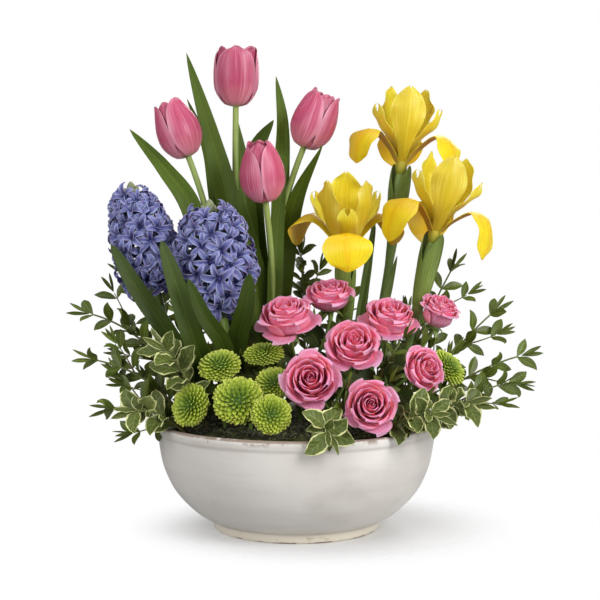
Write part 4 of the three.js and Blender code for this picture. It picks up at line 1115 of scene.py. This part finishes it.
# ---------------------------------------------------------------- sprays of button chrysanthemums
# Tight lime green button blooms: two hundred small spoon-shaped petals set in spirals over a
# dome, still closed and greener at the middle, on stems that branch near the rim.
BUTTON = {
    "measure": "radius", "depth": 0.4, "trunk": 1.7, "columns": (3,), "collar": [(5, 1.4, 0), (0, 5, 0)],
    "leaf": {**SPRAY_LEAF, "width": 10, "teeth": 0.16, "count": 4, "steps": 40},
}
BUTTON_FLORETS = 200
BUTTON_SPREAD = 118
BUTTON_SPRAYS = [
    {"foot": (-62, -40), "fork": (-68, -42, 114), "blooms": [
        {"centre": (-70, -64, 162), "facing": (-0.1, -0.55, 0.83), "radius": 20, "turn": 0},
        {"centre": (-96, -76, 127), "facing": (-0.55, -0.75, 0.3), "radius": 20, "turn": 15}]},
    {"foot": (-20, -32), "fork": (-22, -38, 122), "blooms": [
        {"centre": (-30, -52, 171), "facing": (-0.05, -0.3, 0.95), "radius": 19, "turn": 5},
        {"centre": (-21, -68, 146), "facing": (-0.1, -0.7, 0.7), "radius": 18, "turn": 25}]},
    {"foot": (-42, -46), "fork": (-42, -60, 112), "blooms": [
        {"centre": (-52, -92, 134), "facing": (-0.05, -0.85, 0.5), "radius": 23, "turn": 10},
        {"centre": (-22, -110, 124), "facing": (0.15, -0.9, 0.35), "radius": 18, "turn": 0}]},
    {"foot": (76, -38), "fork": (100, -38, 122), "blooms": [
        {"centre": (140, -46, 158), "facing": (0.6, -0.45, 0.65), "radius": 19, "turn": 0}]},
]


def button_bloom(bloom, random):
    radius = bloom["radius"]
    rise = np.linspace(0.02, 0.98, 10)[:, None]
    girth = 0.56 * radius * np.sin(np.pi * rise ** 0.8) ** 0.6
    parts = [turned(lathe(girth, radius * 0.66 * rise, 24), slot=1)]
    cap_share = 1 - math.cos(math.radians(BUTTON_SPREAD))
    for k in range(BUTTON_FLORETS):
        polar = math.acos(1 - cap_share * (k + 0.5) / BUTTON_FLORETS)
        level, upright = math.sin(polar), math.cos(polar)
        out = outward(k * GOLDEN_ANGLE + math.radians(bloom["turn"]))
        far = random.uniform(0.93, 1.06)
        root = out * radius * 0.5 * level + UP * radius * (0.34 + 0.26 * upright)
        tip = out * radius * far * level + UP * radius * (0.34 + 0.48 * far * upright)
        knee = (root + tip) / 2 + out * radius * 0.12 * level - UP * radius * 0.03
        rib = bend(root, knee, tip + UP * radius * 0.05 * level, np.linspace(0, 1, 6))
        wide = radius * (0.042 + 0.048 * math.sin(min(polar, math.pi / 2)))
        half = wide * np.array([0.45, 0.6, 0.85, 1.0, 0.95, 0.4])
        grid = ribbon(rib, half, UP * 1.2 - out * 0.5, 3, 0.7)
        parts.append(skin(grid, 0.5, random.uniform(0, 1), 1 - min(1, 1.4 * polar / math.pi)))
    return parts


def button_material():
    material, shader = new_material(
        "button_petal", Roughness=0.55, Subsurface_Weight=0.2, Subsurface_Scale=0.003,
        Subsurface_Radius=(0.5, 1.0, 0.3),
    )
    marks = marks_of(shader)
    colour = ramp(marks.along, (0, (74, 98, 20)), (0.45, (138, 160, 38)), (0.8, (180, 196, 60)),
                  (1, (208, 220, 108)))
    colour = over(colour, (106, 136, 38), between(marks.layer, 0.55, 0.95), 0.75)
    varied(shader, colour, marks.shade, 0.2, 0.15, 120)
    return material


random = np.random.default_rng(61)
petal = button_material()
core = stalk_material("button_core", (52, 78, 16), (66, 96, 22), 0.8)
stem = stalk_material("button_stem", (88, 116, 46), (116, 142, 60), 0.55)
leaf = leaf_material("button_leaf", (64, 84, 24), (116, 132, 58), (34, 48, 12), -2.0, 0.5, slant=6)
build_sprays("button", BUTTON_SPRAYS, BUTTON, button_bloom, [petal, core], [stem, leaf], random)

# ---------------------------------------------------------------- sprigs of myrtle and pittosporum
# Cut greenery around the rim. Myrtle has small glossy leaves in opposite pairs. Variegated
# pittosporum has broader grey-green ones with wavy cream edges. Both are woody at the foot.
MYRTLE = {"length": 26, "width": 5.4, "spacing": 19.5, "out": 0.84, "up": 0.56, "fullness": 0.82,
          "point": 1.1, "loose": 0.25}
PITTOSPORUM = {"length": 31, "width": 9, "spacing": 13, "out": 0.92, "up": 0.4, "ruffle": 0.24,
               "waves": 2.5, "across": 8, "fullness": 0.8, "point": 0.95}
SPRIG_RADIUS = 1.7
CLEAR_OF_FOAM = 105
MYRTLES = [
    # the start, knee and end of the stem, and how far along it the leaves start
    ((-72, 22, 60), (-114, 46, 180), (-168, 40, 240), 0.45),
    ((-84, 12, 60), (-120, 16, 184), (-198, -6, 205), 0.4),
    ((-84, -16, 60), (-114, -28, 150), (-190, -34, 164), 0.36),
    ((-80, -30, 60), (-108, -44, 128), (-172, -46, 120), 0.42),
    ((74, 28, 60), (116, 36, 180), (152, 34, 246), 0.5),
    ((84, 18, 60), (130, 22, 150), (190, 14, 205), 0.42),
    ((86, 2, 60), (124, -6, 140), (214, -14, 166), 0.42),
    ((82, -20, 60), (128, -30, 122), (190, -44, 142), 0.44),
    ((8, 46, 60), (10, 58, 180), (4, 56, 262), 0.55),
    ((-44, 56, 60), (-74, 92, 150), (-100, 106, 212), 0.34),
    ((30, 64, 60), (40, 100, 140), (52, 112, 214), 0.34),
]
FACING_BACK = (9, 10)
BACK = np.array([0, 1, 0.5])
PITTOSPORUMS = [
    ((-70, -50, 60), (-92, -60, 150), (-120, -72, 178), 0.5),
    ((16, -72, 60), (22, -112, 128), (28, -136, 112), 0.46),
    ((54, -58, 60), (90, -92, 130), (120, -112, 124), 0.42),
    ((72, -56, 60), (112, -66, 128), (156, -82, 130), 0.46),
    ((-76, -42, 60), (-112, -64, 124), (-146, -76, 122), 0.46),
]
OPPOSITE = ((0, 2), (1, 3))
LAST_PAIR = 0.97
BETWEEN = 0.62
TIP_LEAF = {"size": 0.62, "width": 0.36}
SHOOT = {"places": (0.5, 0.72), "length": 42, "pairs": 2, "radius": 1.0, "size": 0.92, "rows": 9,
         "last": 0.82, "tip_size": 0.6, "tip_width": 0.3}
FILLERS = [
    # x, y and height above the moss
    (-2, -66, 50), (22, -62, 56), (42, -80, 44), (64, -66, 54), (90, -78, 44), (-46, -66, 44),
    (102, -54, 56), (-94, -38, 60), (-60, -34, 66), (-10, -34, 78), (16, -28, 86), (46, -22, 88),
    (68, -34, 82), (94, -32, 84), (110, -14, 80), (-86, 8, 84), (-50, 0, 86), (-14, 8, 94),
    (22, 2, 96), (60, -2, 98), (88, 16, 100), (-60, 52, 84), (0, 62, 88), (42, 58, 96),
    (78, 48, 92), (-96, 40, 74), (30, 92, 70), (-30, 94, 70), (-84, 76, 60), (88, 72, 62),
    (-44, -28, 62), (-34, -8, 66), (-24, -22, 60), (-70, -12, 62), (-40, 22, 74), (-36, 44, 80),
    (-56, 34, 76), (-108, 4, 66), (-106, -18, 46), (-98, 22, 84), (106, 14, 78), (110, -8, 62),
    (110, -30, 50), (96, 40, 90), (-64, 14, 78),
]
FILLER = {**SHOOT, "spacing": 12, "lean": 0.3, "radius": 1.2, "size": 0.88, "sunk": 8, "back": 40}
ROOM = {"rose": 29.5, "button": 1.1}
UPRIGHT = {"sprig": 8, "from": (0.5, 0.76, 0.98), "pairs": 6}

# The middle and reach of every rose and chrysanthemum, which the loose leaves keep out of.
bloom_rooms = [
    (np.array(bloom["centre"], float), room * bloom[kind["measure"]])
    for sprays, kind, room in ((ROSE_SPRAYS, ROSE, ROOM["rose"]), (BUTTON_SPRAYS, BUTTON, ROOM["button"]))
    for spray in sprays for bloom in spray["blooms"]
]


def wobble(seed):
    wave = math.sin(seed * 12.9898) * 43758.5453
    return 2 * (wave - math.floor(wave)) - 1


def clear_of_blooms(points):
    return all(np.linalg.norm(points - centre, axis=1).min() > reach for centre, reach in bloom_rooms)


def loose_leaf(rib, facing, width, random, kind):
    """A shoot's leaf in a list, or none where it would enter a bloom."""
    return [small_leaf(rib, facing, width, random, kind, across=4)] if clear_of_blooms(rib) else []


def shoot(ribs, pairs, kind, light, random, form, first=0.16):
    """A short leafy twig: opposite pairs of leaves, smaller to the tip, and a tuft at the end."""
    path = bend(*ribs, np.linspace(0, 1, 20))
    if not clear_of_blooms(path):
        return []
    parts = [tube(path[::3], form["radius"] * np.linspace(1, 0.5, 7), 6)]
    side = square_to(path)
    turned_by = random.integers(0, 2)
    for pair in range(pairs):
        v = first + (form["last"] - first) * pair / max(1, pairs - 1)
        ahead = ahead_at(ribs, v)
        for column in OPPOSITE[(pair + turned_by) % 2]:
            out = face_out(ahead, side, 4, column)
            size = form["size"] * (1 - 0.3 * pair / pairs) * random.uniform(0.8, 1.12)
            rib = leaf_rib(bend(*ribs, v), out, ahead, kind, size, form["rows"])
            parts += loose_leaf(rib, ahead * 0.4 + light, kind["width"] * size, random, kind)
    ahead = unit(path[-1] - path[-4])
    for column in range(3):
        out = face_out(ahead, side, 3, column)
        size = form["tip_size"] * form["size"]
        rib = leaf_rib(path[-1] - ahead, unit(out * 0.5 + ahead), ahead, kind, size, 7)
        parts += loose_leaf(rib, light + out * 0.8, kind["width"] * form["tip_width"], random, kind)
    return parts


def sprig(ribs, lower, kind, index, light, node, random):
    """A woody stem with the solid's pairs of leaves, smaller ones between them and at its tip."""
    t = np.linspace(0, 1, 400)
    path = bend(*ribs, t)
    length = np.linalg.norm(np.diff(path, axis=0), axis=1).sum()
    first = max(lower, t[np.argmax(path[:, 2] > CLEAR_OF_FOAM)] + 5 / length)
    pairs = round(length * (1 - first) / kind["spacing"])
    corners = corners_of(node)
    stem = path[::10]
    parts = [tube(stem, SPRIG_RADIUS * (1 - 0.55 * np.linspace(0, 1, len(stem))), 8)]
    side = square_to(path)
    for pair in range(pairs):
        v = first + (LAST_PAIR - first) * pair / (pairs - 1)
        ahead = ahead_at(ribs, v, 0.002)
        place = bend(*ribs, v)
        facing = ahead * 0.4 + light
        for column in OPPOSITE[pair % 2]:
            out = face_out(ahead, side, 4, column)
            full = (1 - 0.25 * pair / pairs) * (1 + 0.12 * wobble(index * 31 + (2 + 2 * pair) * 4 + column))
            size = size_of(corners, place, out, ahead, kind, full)
            if not size:
                continue
            rib = leaf_rib(place, out, ahead, kind, size)
            parts.append(small_leaf(rib, facing, kind["width"] * size, random, kind))
            if pair > pairs / 2 and kind is MYRTLE:
                continue
            behind = bend(*ribs, v - 0.4 * (LAST_PAIR - first) / pairs)
            aside = unit(out * 0.7 + np.cross(ahead, out) * random.choice([-0.7, 0.7]))
            rib = leaf_rib(behind, aside, ahead, kind, size * BETWEEN, 9)
            parts.append(small_leaf(rib, facing, kind["width"] * size * BETWEEN, random, kind))
    ahead = unit(path[-1] - path[-8])
    for column in OPPOSITE[pairs % 2]:
        out = face_out(ahead, side, 4, column)
        rib = leaf_rib(path[-1] - ahead * 1.5, unit(out * 0.5 + ahead), ahead, kind, TIP_LEAF["size"], 9)
        parts.append(small_leaf(rib, light + out * 0.8, kind["width"] * TIP_LEAF["width"], random, kind))
    return parts


def side_shoots(ribs, kind, light, random):
    """Shoots that leave a sprig's stem on one side and then the other."""
    parts = []
    for k, v in enumerate(SHOOT["places"]):
        place, ahead = bend(*ribs, v), ahead_at(ribs, v)
        level = unit(np.cross(ahead, light)) * (1 if k % 2 else -1)
        way = unit(level * 0.75 + ahead * 0.8 + random.uniform(-0.25, 0.25, 3))
        reach = SHOOT["length"] * random.uniform(0.8, 1.15) * 0.5
        knee = place + way * reach
        end = knee + unit(way + ahead * 0.5) * reach
        parts += shoot((place, knee, end), SHOOT["pairs"], kind, light, random, SHOOT)
    return parts


random = np.random.default_rng(71)
twig = stalk_material("twig", (104, 78, 50), (104, 124, 58), 0.65)
glossy = leaf_material(
    "myrtle_leaf", (90, 108, 30), (150, 162, 70), (42, 55, 11), -1.5, 0.5, slant=7, rough=0.38, gloss=0.35,
)
edged = leaf_material(
    "pittosporum_leaf", (98, 112, 48), (158, 168, 100), (48, 62, 20), -1.4, 0.35, slant=5,
    margin=((212, 214, 150), 0.8), rough=0.45,
)
for i, (*ribs, lower) in enumerate(MYRTLES):
    light = BACK if i in FACING_BACK else FRONT
    parts = sprig(ribs, lower, MYRTLE, i, light, f"myrtle_{i + 1}", random)
    parts += side_shoots(ribs, MYRTLE, light, random)
    if i == UPRIGHT["sprig"]:
        upper = [bend(*ribs, v) for v in UPRIGHT["from"]]
        parts += shoot(upper, UPRIGHT["pairs"], MYRTLE, light, random, SHOOT, 0.05)
    build(f"myrtle_{i + 1}_sprig", parts, [twig, glossy], f"myrtle_{i + 1}")
for i, (*ribs, lower) in enumerate(PITTOSPORUMS):
    parts = sprig(ribs, lower, PITTOSPORUM, i + 50, FRONT, f"pittosporum_{i + 1}", random)
    build(f"pittosporum_{i + 1}_sprig", parts, [twig, edged], f"pittosporum_{i + 1}")

# Short shoots of myrtle pushed into the moss between the flower stems.
random = np.random.default_rng(81)
parts = []
for x, y, height in FILLERS:
    foot = np.array([x, y, foam_height(math.hypot(x, y)) - FILLER["sunk"]])
    lean = np.array([x, y, 0]) / 120 * FILLER["lean"] + random.uniform(-0.16, 0.16, 3) * (1, 1, 0)
    tall = height * random.uniform(0.9, 1.08)
    end = foot + (UP + lean * 1.4) * (tall + FILLER["sunk"])
    knee = foot + (UP + lean * 0.2) * (tall + FILLER["sunk"]) * 0.55
    light = FRONT if y < FILLER["back"] else BACK
    parts += shoot((foot, knee, end), round(tall / FILLER["spacing"]), MYRTLE, light, random, FILLER, 0.2)
build("filler_shoots", parts, [twig, glossy])

size = {"cad": [list(corner) for corner in cad_box], "visual": [list(corner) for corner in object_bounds()]}
